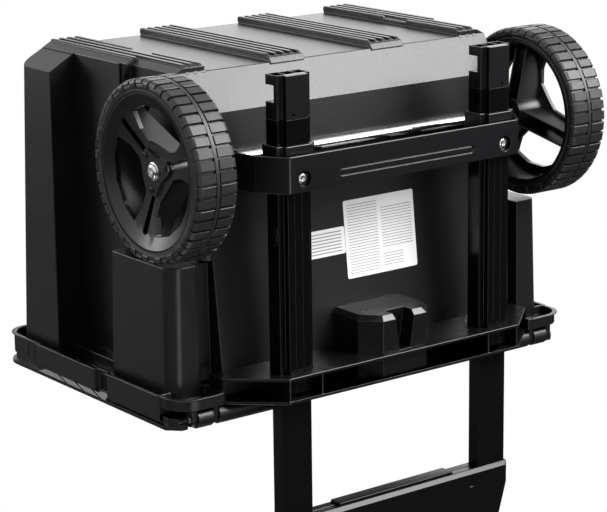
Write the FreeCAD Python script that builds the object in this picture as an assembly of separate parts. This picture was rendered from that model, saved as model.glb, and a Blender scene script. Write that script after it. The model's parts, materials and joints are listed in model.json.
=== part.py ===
import FreeCAD, Part
import math
import os

os.makedirs("parts", exist_ok=True)
Vec = FreeCAD.Vector

# Wheeled storage box with a telescopic handle, a hinged lid and a stacking catch.
# Frame: +Z up, +Y to the rear where the handle and the wheels are, +X to the right seen from the
# front. The origin lies on the ground below the middle of the box. All sizes are millimetres.

# ---------------------------------------------------------------- fits shared by all pieces
GAP = 0.3                     # between faces of pieces that move past each other
SEAT_GAP = 0.1                # between a curved face and the seat that carries it
RUNNING = 0.05                # radial clearance of a pin or shaft that turns in its bore
BITE = 1.0                    # how far joined shapes run into each other and cuts run past a face
LINE_SNAP = 0.01              # how near a point lies to the edge that it names

# ---------------------------------------------------------------- tub
WALL = 3.0
FLOOR_Z = 7.5                 # underside of the floor, above the skids
RIM_Z = 310.0                 # lower edge of the rim skirt
BODY_HALF_WIDTH = 243.0       # front pillars and corner posts at the rim
SIDE_DRAFT = 7.3              # how much a wall leans in from the rim down to the floor
FRONT_Y = -165.0
FRONT_DRAFT = 7.3
REAR_Y = 126.4
REAR_DRAFT = 32.4
FRONT_CORNER_R = 14.0
PILLAR_REAR_Y = -89.0         # rear edge of the front pillar
PILLAR_DRAFT = 9.0
RECESS_HALF_WIDTH = 206.6     # side wall between pillar and wheel
RECESS_DRAFT = 1.6
FACET_SLOPE = 0.06            # lean of the face between pillar and recess
WELL_FRONT_Y = -2.5           # wheel well
WELL_HALF_WIDTH = 199.0
WELL_TOP_Z = 187.0
WELL_CORNER_R = 12.0
WELL_FRONT_R = 6.0
POST_FRONT_Y = 12.0           # corner post above the wheel
POST_REAR_Y = 120.0
POST_REAR_DRAFT = 4.9
POST_CORNER_R = 14.0
POST_INNER_HALF = 209.0
POST_CHANNEL = 14.0           # depth of the upright channel between post and rear panel
REAR_PANEL_HALF = 186.0
SLANT_Z = 46.0                # top of the slanted rear panel
SLANT_FLOOR_Y = 75.0          # where that panel meets the floor
SIDE_CHAMFER = 29.5           # chamfer between the pillars and the floor
SIDE_CHAMFER_Z = 15.5
FIN_Y = (-11.0, -4.5)         # two upright fins at the front edge of the wheel well
FIN = 2.0
FIN_OUTER_X = 208.5
FIN_Z = 5.0
LEDGE_Z = 313.4               # ledge at the rim end of the recess
LEDGE_HALF_WIDTH = 220.0
LEDGE_FRONT_Y = -91.0

# ---------------------------------------------------------------- rim of the tub
RIM_HALF_WIDTH = 255.0
RIM_FRONT_Y = -182.0
RIM_REAR_Y = 148.5
RIM_TOP_Z = 331.0
RIM_REAR_TOP_Z = 322.0        # lower rim behind the hinge line
RIM_STEP_Y = 115.0            # where the rim drops to its rear level
RIM_CORNER_R = 25.0
RIM_WALL = 2.5
PANEL_PROUD = 2.0             # side panels stand this far out of the rim corners
PANEL_FRONT_Y = -112.0
PANEL_NOTCH = (-1.0, 21.0)     # gap between the two side panels
PANEL_NOTCH_DEPTH = 4.5
FRONT_PANEL_TOP_Z = 334.0
REAR_PANEL_TOP_Z = 337.5
REAR_PANEL_END = (93.0, 115.0)  # the rear panel's end sweeps up in a quarter ellipse
REAR_PANEL_END_Z = 314.0
LIP = 1.5                     # bead along the lower edge of the skirt
LIP_CLEAR_HALF = 205.0        # the bead leaves room for the latches and the beam
GUSSET = 1.6                  # small gussets in the channel between skirt and wall
GUSSET_REACH = 16.0
GUSSET_Z = 313.0
GUSSET_FIRST_Y = (-136.0, -52.0, 28.0, 78.0)
GUSSET_COUNT = (3, 9, 1, 1)
GUSSET_PITCH = (13.0, 8.4, 1.0, 1.0)
CORNER_GUSSET_X = (222.0, 230.0, 238.0)
PANEL_CURVE_STEPS = 6

# ---------------------------------------------------------------- skids
SKID_BASE_Z = 2.5             # plain strip under the floor, the ridges stand on it
SKID_RIDGE = 4.0
SKID_PITCH = 9.5
SKID_FRONT_Y = -159.5
SKID_FRONT_R = 2.5
SKID_REAR_Y = 69.0
SKID_END_R = 7.0
SKID_EDGE_R = 3.5
MIDDLE_SKID_X = 43.5          # inner side of the first ridge
MIDDLE_RIDGES = 5
OUTER_SKID_X = 163.5
OUTER_RIDGES = 4
RIDGE_BREAK = (-52.0, -13.0)  # the innermost ridge of the outer skid is interrupted here
SILL_EDGE_X = (198.0, 190.0)  # edge of the outer skid's base before and beside the wheel
SILL_BEVEL = 2.0
SILL_Z = 3.0

# ---------------------------------------------------------------- guide beam behind the rim
BEAM_REAR_Y = 188.0
BEAM_Z = 297.0
BEAM_TOP_Z = 323.5
BEAM_PLATE = 3.0
BEAM_END_HALF = 200.0
BEAM_END_Y = 144.0
BEAM_FLAT_HALF = 150.0
BEAM_RIB_X = (109.0, 148.5)
BEAM_RIB = 2.5
BEAM_CORNER_R = (6.0, 3.0)

# ---------------------------------------------------------------- guide rails and handle tubes
RAIL_X = 128.6
RAIL_WIDTH = 40.0
RAIL_Y = 153.0                # face towards the box
RAIL_DEPTH = 18.0
RAIL_WALL = 1.2
RAIL_RIB_WIDTH = 26.0         # rib on the rear face, its inside is the channel of the lock pin
RAIL_RIB_DEPTH = 6.0
RAIL_TOP_Z = 317.0
FOOT_Z = 2.0
FOOT_TOP_Z = 45.0
FOOT_NOTCH_Z = (12.0, 28.0)
FOOT_NOTCH_DEPTH = 13.0
FOOT_SPIGOT = 5.0             # part of the foot that plugs into the rail, below the tube's travel
FOOT_HOLE_R = 1.5
FOOT_HOLE_OFFSET = 4.5
FOOT_HOLE_Z = 41.0
TUBE_CLEARANCE = 0.2
TUBE_WALL = 1.2
TUBE_BOTTOM_Z = 153.0
TUBE_TOP_Z = 462.0
TUBE_MID_Y = RAIL_Y + RAIL_DEPTH / 2
RAIL_REAR_Y = RAIL_Y + RAIL_DEPTH
RAIL_BACK_Y = RAIL_REAR_Y + RAIL_RIB_DEPTH
GROOVE_OFFSET = 4.5           # two fine grooves run down the rail's rib
GROOVE_R = 0.6

# ---------------------------------------------------------------- lower guide bracket
BRACKET_Z = 78.4
BRACKET_TOP_Z = 114.5
BRACKET_WALL = 3.0
BRACKET_REAR_Y = 187.5
BRACKET_FLAT_HALF = 147.0
BRACKET_CHAMFER = (167.0, 160.0)
BRACKET_HALF_WIDTH = 172.0
BRACKET_SIDE_Y = 130.0
BRACKET_FRONT_Y = 85.0
BRACKET_CORNER_R = (6.0, 4.0)
BRACKET_RIB_X = (45.0, 85.0)
BRACKET_RIB_Z = 99.0          # the ribs stay above the axle
SLEEVE_Z = 70.0
SLEEVE_TOP_Z = 116.5
SLEEVE_WALL = 3.0
SCREW_Z = 101.5
SCREW_R = 2.5
SCREW_HEAD_R = 5.5
SCREW_HEAD = 3.5
SCREW_POCKET_R = 8.0
SCREW_POCKET_DEPTH = 6.0
SCREW_POCKET_WALL = 2.6
BRACKET_RIB = 2.5
SADDLE = 12.0                 # thickness of the blocks that carry the axle
SADDLE_HALF_LENGTH = 12.0
BRACKET_RIB_FRONT_Y = 86.0
BAR_HALF = 88.0               # bar outlined by a groove on the rear face
BAR_Z = (97.0, 105.0)
BAR_GROOVE = 1.4
BAR_GROOVE_DEPTH = 1.2

# ---------------------------------------------------------------- catch block
CATCH_Z = 258.0
CATCH_HALF_WIDTH = 46.0
CATCH_SIDE_Y = 163.0
CATCH_REAR_HALF = 28.0
CATCH_REAR_Y = 182.0
CATCH_SLOT = (12.5, 7.0)      # half width of the slot at its mouth and at its end
CATCH_SLOT_DEPTH = 18.0
CATCH_CHAMFER = 5.0

# ---------------------------------------------------------------- axle and wheels
WHEEL_DIAMETER = 180.0
WHEEL_OUTER_X = 260.0
TYRE_WIDTH = 46.0
AXLE_Y = 110.0
AXLE_DIAMETER = 10.0
BUSH_WALL = 1.8
BUSH_GAP = 2.0                # between the bracket and the sleeve
RIM_RADIUS = 77.0
RIM_OUTSET = 2.0              # the tyre stands this far proud of the rim
RIM_BAND = 4.0
WEB = 5.0
HUB_R = 15.0
HUB_INNER_X = 206.0
HUB_FACE_X = 246.0
SPOKE_ANGLES = (-17.0, 103.0, 223.0)
SPOKE_HALF = 12.5
SPOKE_ROOT_HALF = 20.0
SLOT_HALF = 4.0
SLOT_NEAR_HALF = 3.0
SLOT_R = (26.0, 65.0)
SLOT_END_R = 3.0
WINDOW_R = (29.0, 63.0)
WINDOW_KNEE = 0.7             # where the spoke starts to widen, as a share of the outer radius
WINDOW_HALF_ANGLE = 22.0
WINDOW_BULGE = 1.015          # the outer side bulges by this factor
WINDOW_CORNER_R = (3.0, 4.0, 2.0)
SPOKE_RIB = 2.0
SPOKE_DEPTH = 26.0            # depth of a spoke's rib where it meets the band
WEB_LIP = 2.0                 # flat lip around the dished web
WEB_BEND = (63.0, 252.0)      # radius and place where the web's slope changes
HUB_PLATE = 3.0
HUB_PLATE_R = 25.0
HUB_LOBE_HALF = 6.0
HUB_LOBE_R = 3.0
HUB_WAIST_R = 14.0
RIGHT_WHEEL_TURN = 39.0       # the two wheels rest at different turns
HUB_SCREW_CIRCLE = 19.5
HUB_SCREW_R = 1.5
HUB_SCREW_HEAD_R = 3.0
HUB_SCREW_HEAD = 1.6
BOLT_HEAD_R = 7.5
BOLT_HEAD = 4.0
BOLT_WASHER_R = 9.0
BOLT_WASHER = 1.0
BOLT_SHANK_R = 4.0
TREAD_DEPTH = 3.0
TREAD_GROOVE = 3.0            # width of the groove round the middle of the tread
SHOULDER = 4.0

# ---------------------------------------------------------------- grip
GRIP_Z = 451.0
GRIP_TOP_Z = 522.0
GRIP_Y = (148.5, 174.5)
GRIP_HALF_WIDTH = 150.0
GRIP_SHOULDER_Z = 475.0
GRIP_TOP_HALF = 136.0
GRIP_WALL = 3.0
GRIP_SPLIT_Y = 161.5
GRIP_CHAMFER = 4.0
GRIP_POCKET_INSET = 4.0
GRIP_POCKET_TOP_Z = 483.0
GRIP_SCREW_X = (-100.0, -35.0, 35.0, 100.0)
GRIP_SCREW_Z = 504.0
GRIP_SCREW_R = 1.75
GRIP_SCREW_HEAD_R = 4.0
GRIP_SCREW_HEAD_Y = (150.0, 153.0)
GRIP_SCREW_END_Y = 169.5
GRIP_PANEL_HALF = 105.0       # shallow recess on the grip's rear face
GRIP_PANEL_Z = (490.0, 513.0)
GRIP_PANEL_DEPTH = 1.0
GRIP_SLOT_X = (95.0, 100.0)
GRIP_SLOT_Z = (457.0, 469.0)
RELEASE_HALF = 75.0
RELEASE_Y = (153.0, 169.0)
RELEASE_Z = 448.0
RELEASE_TRAVEL = 3.0
ARM_Z = GRIP_Z + GRIP_WALL + GAP      # underside of the bar's arms inside the grip
ARM_THICKNESS = 4.7
ARM_HALF = 4.0
BLADE_HALF = 1.2              # half thickness of the inclined blade, measured along Y
BLADE_REACH = 4.0
BLADE_WIDTH = 3.0
BLADE_RUN_OUT = 10.0          # the pin's slot runs on past the blade
ROD_FOOT = 3.0                # height of the block that joins the blade to the rod
SLOT_HALF_DEPTH = 5.6
ROD_R = 2.5
PIN_R = 3.5
PIN_Z = 172.0
PIN_FRONT_Y = RAIL_Y + RAIL_WALL + TUBE_CLEARANCE + TUBE_WALL + 2.0
PIN_NOSE_Y = RAIL_BACK_Y - RAIL_WALL - GAP
SLIDER_HEIGHT = 40.0

# ---------------------------------------------------------------- lid
LID_GAP = 0.5
LID_EDGE_Z = 339.0
LID_TOP_Z = 343.0
LID_CROWN_Z = 348.0
LID_HALF_WIDTH = 255.5
LID_SIDE_INSET = 4.0
LID_FRONT_Y = -182.5
LID_WALL = 3.0
CROWN = ((180.0, -140.0), (230.0, -120.0), (230.0, 50.0), (180.0, 70.0))
CROWN_R = 12.0
FACET_Y = (-112.0, 19.0)      # sloped face along the lid's sides
FACET_TAPER = 24.0
FACET_X = 250.0
FACET_SLIT_Y = (-92.0, -59.5, -27.0)   # slanted grooves across it
FACET_SLIT_LEAN = 34.0
FACET_SLIT = 5.0
FACET_SLIT_DEPTH = 1.2
HINGE_Y = 138.0
HINGE_Z = 333.6
HINGE_ROLL_R = 9.4
HINGE_EAR_R = 7.0
HINGE_PIN_R = 3.0
HINGE_EARS = ((205.0, 211.0), (230.0, 236.0))
HINGE_SLOT_Y = (126.0, 158.0)   # room for the ears in the lid's rear edge
LID_REAR_CHAMFER = 12.0

# ---------------------------------------------------------------- front latches
LATCH_X = 135.0
LATCH_WIDTH = 70.0
LATCH_PIVOT_Y = -188.0
LATCH_PIVOT_Z = 318.0
LATCH_PLATE = 3.0
LATCH_STANDOFF = 3.6          # from the pivot to the back of the plate
LATCH_PIN_R = 2.0
LATCH_AJAR = 12.0             # degrees that the latch stands open as it is stored
LATCH_BOTTOM_Z = 311.5
LATCH_NOSE_Y = LID_FRONT_Y + 4.0
LATCH_NOSE_R = 2.0
LATCH_EYE_X = (-20.0, 6.0)    # inner side of each eye from the latch's middle
LATCH_EYE = 14.0
LATCH_EYE_R = 4.0
LUG_INSET = 8.0               # from the plate's end to the middle of a lug
LUG = 6.0
LUG_HALF_HEIGHT = (5.0, 3.0)  # at the skirt and at its rounded nose
LUG_R = 2.5
LATCH_PIN_INSET = 5.0


# ================================================================ helpers

def drafted(at_rim, draft, z):
    """Coordinate of a leaning wall at height z."""
    return at_rim - draft * (RIM_Z - z) / (RIM_Z - FLOOR_Z)


def place(a, b, axis, level):
    """Point of an outline drawn square to an axis."""
    if axis == "x":
        return Vec(level, a, b)
    if axis == "y":
        return Vec(a, level, b)
    return Vec(a, b, level)


def corner_arc(before, point, after, radius, axis, level):
    """Start, arc and end of a rounded corner, or the bare corner when the radius is 0."""
    here = place(point[0], point[1], axis, level)
    if radius <= 0:
        return here, None, here
    towards = (place(before[0], before[1], axis, level) - here).normalize()
    onwards = (place(after[0], after[1], axis, level) - here).normalize()
    half = towards.getAngle(onwards) / 2
    bisector = (towards + onwards).normalize()
    reach = radius / math.tan(half)
    centre = here + bisector * (radius / math.sin(half))
    start = here + towards * reach
    end = here + onwards * reach
    return start, Part.Arc(start, centre - bisector * radius, end), end


def outline(points, axis="z", level=0.0):
    """Closed wire through (a, b) or (a, b, corner radius) points."""
    corners = []
    for i, point in enumerate(points):
        radius = point[2] if len(point) > 2 else 0
        after = points[(i + 1) % len(points)]
        corners.append(corner_arc(points[i - 1], point, after, radius, axis, level))
    edges = []
    for i, (start, arc, end) in enumerate(corners):
        if arc is not None:
            edges.append(arc.toShape())
        following = corners[(i + 1) % len(corners)][0]
        if (following - end).Length > 1e-6:
            edges.append(Part.makeLine(end, following))
    return Part.Wire(edges)


def prism(points, axis, start, end):
    """Straight prism along an axis between two levels."""
    face = Part.Face(outline(points, axis, start))
    return face.extrude(place(0, 0, axis, end) - place(0, 0, axis, start))


def box(x, y, z):
    """Box from three (low, high) pairs."""
    return Part.makeBox(x[1] - x[0], y[1] - y[0], z[1] - z[0], Vec(x[0], y[0], z[0]))


def flat_faces(corners):
    """The quadrilateral as one face when it is plane, or as two triangles."""
    first, second, third, fourth = corners
    normal = (second - first).cross(fourth - first)
    if abs(normal.normalize().dot(third - first)) < 1e-6:
        return [Part.Face(Part.makePolygon(corners + [first]))]
    halves = ([first, second, third, first], [first, third, fourth, first])
    return [Part.Face(Part.makePolygon(half)) for half in halves]


def loft(low, high):
    """Solid with plane sides between two (points, height) sections that have the same corners."""
    rings = []
    for points, z in (low, high):
        rings.append([Vec(point[0], point[1], z) for point in points])
    faces = [Part.Face(Part.makePolygon(ring + ring[:1])) for ring in rings]
    count = len(rings[0])
    for i in range(count):
        after = (i + 1) % count
        faces += flat_faces([rings[0][i], rings[0][after], rings[1][after], rings[1][i]])
    return Part.makeSolid(Part.makeShell(faces))


def rounded(shape, points, radius):
    """Round the straight edges that pass through the points."""
    edges = []
    for edge in shape.Edges:
        if any(edge.distToShape(Part.Vertex(point))[0] < LINE_SNAP for point in points):
            edges.append(edge)
    return shape.makeFillet(radius, edges)


def cylinder(axis, radius, start, end, a, b):
    """Round bar along an axis between two levels, centred on (a, b)."""
    direction = place(0, 0, axis, 1)
    return Part.makeCylinder(radius, end - start, place(a, b, axis, start), direction)


def both_sides(half):
    """Closed symmetric outline from its right half, listed from front to rear."""
    mirrored = [(-point[0],) + tuple(point[1:]) for point in reversed(half)]
    return half + mirrored


def inset(points, distance):
    """The outline moved inwards; the points run anticlockwise."""
    moved = []
    count = len(points)
    for i in range(count):
        before = Vec(points[i - 1][0], points[i - 1][1], 0)
        here = Vec(points[i][0], points[i][1], 0)
        after = Vec(points[(i + 1) % count][0], points[(i + 1) % count][1], 0)
        first = (here - before).normalize()
        second = (after - here).normalize()
        normal_1 = Vec(-first.y, first.x, 0)
        normal_2 = Vec(-second.y, second.x, 0)
        shift = (normal_1 + normal_2) * (distance / (1 + normal_1.dot(normal_2)))
        turn = first.cross(second).z
        radius = points[i][2] if len(points[i]) > 2 else 0
        if radius > 0:
            radius = max(radius - math.copysign(distance, turn), 0.5)
        moved.append((here.x + shift.x, here.y + shift.y, radius))
    return moved


def fuse(shapes):
    """One solid from shapes that touch or overlap."""
    joined = shapes[0].multiFuse(shapes[1:])
    return joined.removeSplitter()


def mirrored(shape):
    """The same piece on the left side."""
    return shape.mirror(Vec(0, 0, 0), Vec(1, 0, 0))


def turned_x(shape, degrees, y, z):
    """Copy turned about an axis along X through (y, z)."""
    copy = shape.copy()
    copy.rotate(Vec(0, y, z), Vec(1, 0, 0), degrees)
    return copy


def write(name, shape):
    """One STEP file for each piece."""
    shape.exportStep("parts/" + name + ".step")


def write_pair(name, shape):
    """The right piece and its mirrored twin."""
    write(name + "_right", shape)
    write(name + "_left", mirrored(shape))


def write_wheel_pair(name, shape):
    """The left piece, and its twin on the right turned to where it rests."""
    write(name + "_left", mirrored(shape))
    write(name + "_right", turned_x(shape, RIGHT_WHEEL_TURN, AXLE_Y, WHEEL_DIAMETER / 2))


# ================================================================ tub

def lower_half(z):
    """Right half of the tub's outline beside the wheels."""
    pillar = drafted(BODY_HALF_WIDTH, SIDE_DRAFT, z)
    recess = drafted(RECESS_HALF_WIDTH, RECESS_DRAFT, z)
    pillar_rear = drafted(PILLAR_REAR_Y, PILLAR_DRAFT, z)
    return [
        (pillar, drafted(FRONT_Y, -FRONT_DRAFT, z)),
        (pillar, pillar_rear),
        (recess, pillar_rear - FACET_SLOPE * (pillar - recess)),
        (recess, WELL_FRONT_Y),
        (WELL_HALF_WIDTH, WELL_FRONT_Y),
        (WELL_HALF_WIDTH, drafted(REAR_Y, REAR_DRAFT, z)),
    ]


def upper_half(z):
    """Right half of the tub's outline above the wheels, with the corner posts."""
    pillar = drafted(BODY_HALF_WIDTH, SIDE_DRAFT, z)
    recess = drafted(RECESS_HALF_WIDTH, RECESS_DRAFT, z)
    pillar_rear = drafted(PILLAR_REAR_Y, PILLAR_DRAFT, z)
    post_rear = drafted(POST_REAR_Y, POST_REAR_DRAFT, z)
    return [
        (pillar, drafted(FRONT_Y, -FRONT_DRAFT, z)),
        (pillar, pillar_rear),
        (recess, pillar_rear - FACET_SLOPE * (pillar - recess)),
        (recess, POST_FRONT_Y),
        (pillar, POST_FRONT_Y),
        (pillar, post_rear),
        (POST_INNER_HALF, post_rear),
        (POST_INNER_HALF, post_rear - POST_CHANNEL),
        (REAR_PANEL_HALF, post_rear - POST_CHANNEL),
        (REAR_PANEL_HALF, drafted(REAR_Y, REAR_DRAFT, z)),
    ]


def tub_form(thickness):
    """Solid form of the tub, moved inwards by a thickness on every side but the top."""
    heights = (FLOOR_Z + thickness, WELL_TOP_Z + thickness, RIM_TOP_Z + thickness)
    lower = [(inset(both_sides(lower_half(z)), thickness), z) for z in heights[:2]]
    upper = [(inset(both_sides(upper_half(z)), thickness), z) for z in heights[1:]]
    lower_solid = loft(lower[0], lower[1])
    upper_solid = loft(upper[0], upper[1])
    for index, radius in ((0, FRONT_CORNER_R), (5, WELL_CORNER_R)):
        lower_solid = rounded(lower_solid, middles(lower, index), radius - thickness)
    for index, radius in ((0, FRONT_CORNER_R), (4, WELL_FRONT_R), (5, POST_CORNER_R)):
        upper_solid = rounded(upper_solid, middles(upper, index), radius - thickness)
    form = fuse([lower_solid, upper_solid])
    return form.cut(edge_cuts(thickness))


def middles(sections, index):
    """Middle of the upright edge at a corner of the right half, and its twin on the left."""
    (low, low_z), (high, high_z) = sections
    x = (low[index][0] + high[index][0]) / 2
    y = (low[index][1] + high[index][1]) / 2
    z = (low_z + high_z) / 2
    return [Vec(x, y, z), Vec(-x, y, z)]


def edge_cuts(thickness):
    """What the slanted rear panel and the side chamfers take off the form at the floor."""
    wide = 2 * BODY_HALF_WIDTH
    top_y = drafted(REAR_Y, REAR_DRAFT, SLANT_Z)
    run = Vec(0, top_y - SLANT_FLOOR_Y, SLANT_Z - FLOOR_Z).normalize()
    inward = Vec(0, -run.z, run.y) * thickness
    low = Vec(0, SLANT_FLOOR_Y, FLOOR_Z) - run * SLANT_Z + inward
    high = Vec(0, top_y, SLANT_Z) + run * SLANT_Z + inward
    slant = prism([(low.y, low.z), (high.y, high.z), (high.y, low.z)], "x", -wide, wide)
    edge = drafted(BODY_HALF_WIDTH, SIDE_DRAFT, FLOOR_Z + SIDE_CHAMFER_Z)
    slope = SIDE_CHAMFER_Z / SIDE_CHAMFER
    rise = thickness * math.sqrt(1 + slope * slope)
    low_x = edge - 2 * SIDE_CHAMFER
    high_x = edge + SIDE_CHAMFER
    side = prism([(low_x, FLOOR_Z - SIDE_CHAMFER_Z + rise), (high_x, FLOOR_Z + 2 * SIDE_CHAMFER_Z + rise),
                  (high_x, FLOOR_Z - SIDE_CHAMFER_Z)], "y", 2 * FRONT_Y, WELL_FRONT_Y)
    return fuse([slant, side, mirrored(side)])


def rim_half(proud):
    """Right half of the rim's outline, with the side panels standing proud."""
    corner = RIM_HALF_WIDTH - proud
    notch = RIM_HALF_WIDTH - PANEL_NOTCH_DEPTH
    return [
        (corner, RIM_FRONT_Y, RIM_CORNER_R),
        (corner, PANEL_FRONT_Y - proud),
        (RIM_HALF_WIDTH, PANEL_FRONT_Y),
        (RIM_HALF_WIDTH, PANEL_NOTCH[0]),
        (notch, PANEL_NOTCH[0] + PANEL_NOTCH_DEPTH / 2),
        (notch, PANEL_NOTCH[1] - PANEL_NOTCH_DEPTH / 2),
        (RIM_HALF_WIDTH, PANEL_NOTCH[1]),
        (RIM_HALF_WIDTH, REAR_PANEL_END[1]),
        (corner, REAR_PANEL_END[1] + proud),
        (corner, RIM_REAR_Y, RIM_CORNER_R),
    ]


def rim_tray():
    """Channel shaped rim: a top flange with a skirt that hangs from its edge."""
    plan = both_sides(rim_half(PANEL_PROUD))
    inner = inset(plan, RIM_WALL)
    wide = 2 * RIM_HALF_WIDTH
    front_part = box((-wide, wide), (-wide, RIM_STEP_Y), (0, 2 * RIM_TOP_Z))
    rear_part = box((-wide, wide), (RIM_STEP_Y, wide), (0, 2 * RIM_TOP_Z))
    front_void = box((-wide, wide), (-wide, RIM_STEP_Y - RIM_WALL), (0, 2 * RIM_TOP_Z))
    front = prism(plan, "z", RIM_Z, RIM_TOP_Z).common(front_part)
    front = front.cut(prism(inner, "z", RIM_Z, RIM_TOP_Z - RIM_WALL).common(front_void))
    rear = prism(plan, "z", RIM_Z, RIM_REAR_TOP_Z).common(rear_part)
    rear = rear.cut(prism(inner, "z", RIM_Z, RIM_REAR_TOP_Z - RIM_WALL))
    beam_space = box((-BEAM_END_HALF - SEAT_GAP, BEAM_END_HALF + SEAT_GAP),
                     (POST_REAR_Y, wide), (RIM_Z, RIM_TOP_Z))
    end_wall = box((BEAM_END_HALF + SEAT_GAP, BEAM_END_HALF + SEAT_GAP + RIM_WALL),
                   (POST_REAR_Y, RIM_REAR_Y), (RIM_Z, RIM_REAR_TOP_Z))
    tray = [front, rear.cut(beam_space), end_wall, mirrored(end_wall), rim_lip(plan, inner)]
    return fuse(tray + gussets())


def rim_lip(plan, inner):
    """Bead along the lower edge of the skirt, at the sides and round the corners."""
    ring = prism(inset(plan, -LIP), "z", RIM_Z, RIM_Z + LIP)
    ring = ring.cut(prism(inner, "z", RIM_Z, RIM_Z + LIP))
    middle = box((-LIP_CLEAR_HALF, LIP_CLEAR_HALF), (2 * RIM_FRONT_Y, 2 * RIM_REAR_Y), (0, RIM_TOP_Z))
    return ring.cut(middle)


def gussets():
    """Small gussets that stiffen the skirt from inside the channel."""
    side = RIM_HALF_WIDTH - RIM_WALL
    plates = []
    top = RIM_TOP_Z - RIM_WALL + BITE
    for first, count, pitch in zip(GUSSET_FIRST_Y, GUSSET_COUNT, GUSSET_PITCH):
        for i in range(count):
            y = first + i * pitch
            plates.append(prism([(side + BITE, GUSSET_Z), (side + BITE, top), (side - GUSSET_REACH, top)],
                                "y", y, y + GUSSET))
    rear = RIM_REAR_Y - RIM_WALL
    top = RIM_REAR_TOP_Z - RIM_WALL + BITE
    for x in CORNER_GUSSET_X:
        plates.append(prism([(rear + BITE, GUSSET_Z), (rear + BITE, top), (rear - GUSSET_REACH, top)],
                            "x", x, x + GUSSET))
    return plates + [mirrored(plate) for plate in plates]


def side_panels():
    """Upright panels on the rim's sides that shroud the edge of the lid."""
    outer = (RIM_HALF_WIDTH - RIM_WALL, RIM_HALF_WIDTH)
    front = box(outer, (PANEL_FRONT_Y, PANEL_NOTCH[0]), (RIM_Z, FRONT_PANEL_TOP_Z))
    start, end = REAR_PANEL_END
    rise = REAR_PANEL_TOP_Z - REAR_PANEL_END_Z
    curve = []
    for i in range(PANEL_CURVE_STEPS + 1):
        angle = math.pi / 2 * i / PANEL_CURVE_STEPS
        curve.append((start + (end - start) * math.sin(angle), REAR_PANEL_TOP_Z - rise * math.cos(angle)))
    rear = prism([(PANEL_NOTCH[1], RIM_Z), (start, RIM_Z)] + curve + [(PANEL_NOTCH[1], REAR_PANEL_TOP_Z)],
                 "x", outer[0], outer[1])
    return [front, rear, mirrored(front), mirrored(rear)]


def skid_profile(bottom, rear, rear_radius):
    """Side view of a skid or ridge with rounded ends, as (y, z) points."""
    into = FLOOR_Z + WALL / 2
    front = SKID_FRONT_Y
    return [(front + WALL, into), (front, SKID_BASE_Z + SILL_Z), (front, bottom, SKID_FRONT_R),
            (rear, bottom, rear_radius), (rear + FLOOR_Z - bottom, into)]


def ridge(x, start, end):
    """One ridge of a skid, square where it is interrupted."""
    bar = prism(skid_profile(0, SKID_REAR_Y, SKID_END_R), "x", x, x + SKID_RIDGE)
    span = box((x, x + SKID_RIDGE), (start, end), (0, FLOOR_Z + WALL / 2))
    return bar.common(span)


def middle_skid():
    """Five ridges on a plain strip."""
    low = MIDDLE_SKID_X
    high = low + (MIDDLE_RIDGES - 1) * SKID_PITCH + SKID_RIDGE
    strip = prism(skid_profile(SKID_BASE_Z, SKID_REAR_Y + SKID_RIDGE, SKID_EDGE_R), "x", low, high)
    bars = [strip]
    for i in range(MIDDLE_RIDGES):
        bars.append(ridge(low + i * SKID_PITCH, FRONT_Y, SLANT_FLOOR_Y + FLOOR_Z))
    return bars


def outer_skid():
    """Four ridges on a strip that runs out to the side chamfer; the outermost ends at the wheel."""
    into = FLOOR_Z + WALL / 2
    run = (into - SILL_Z) * SIDE_CHAMFER / SIDE_CHAMFER_Z
    low = OUTER_SKID_X
    plan = prism(lower_half(FLOOR_Z) + [(0, REAR_Y), (0, FRONT_Y)], "z", 0, into)
    shape = prism(skid_profile(0, SKID_REAR_Y + SKID_RIDGE, SKID_EDGE_R), "x", low, BODY_HALF_WIDTH)
    bars = []
    for edge, start, end in zip(SILL_EDGE_X, (FRONT_Y, WELL_FRONT_Y), (WELL_FRONT_Y, SLANT_FLOOR_Y)):
        section = [(low, into), (low, SKID_BASE_Z), (edge - SILL_BEVEL, SKID_BASE_Z), (edge, SILL_Z),
                   (edge + run, into)]
        bars.append(prism(section, "y", start, end).common(shape).common(plan))
    last = SLANT_FLOOR_Y + FLOOR_Z
    spans = [[(FRONT_Y, RIDGE_BREAK[0]), (RIDGE_BREAK[1], last)], [(FRONT_Y, last)], [(FRONT_Y, last)],
             [(FRONT_Y, WELL_FRONT_Y)]]
    for i in range(OUTER_RIDGES):
        for start, end in spans[i]:
            bars.append(ridge(low + i * SKID_PITCH, start, end))
    return bars


def well_fins():
    """Two upright fins beside the front edge of the wheel well, and the ledge above the recess."""
    inner = RECESS_HALF_WIDTH - WALL
    fins = [box((inner, FIN_OUTER_X), (y, y + FIN), (FIN_Z, WELL_TOP_Z)) for y in FIN_Y]
    fins.append(box((inner, LEDGE_HALF_WIDTH), (LEDGE_FRONT_Y, POST_FRONT_Y + WALL), (LEDGE_Z, RIM_TOP_Z)))
    return fins


def hinge_ears():
    """Two pairs of ears on the rear rim that hold the hinge pins."""
    ears = []
    for low, high in HINGE_EARS:
        stem = box((low, high), (HINGE_Y - HINGE_EAR_R, HINGE_Y + HINGE_EAR_R),
                   (RIM_REAR_TOP_Z - BITE, HINGE_Z))
        eye = cylinder("x", HINGE_EAR_R, low, high, HINGE_Y, HINGE_Z)
        ears.append(stem.fuse(eye))
    return ears + [mirrored(ear) for ear in ears]


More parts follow.
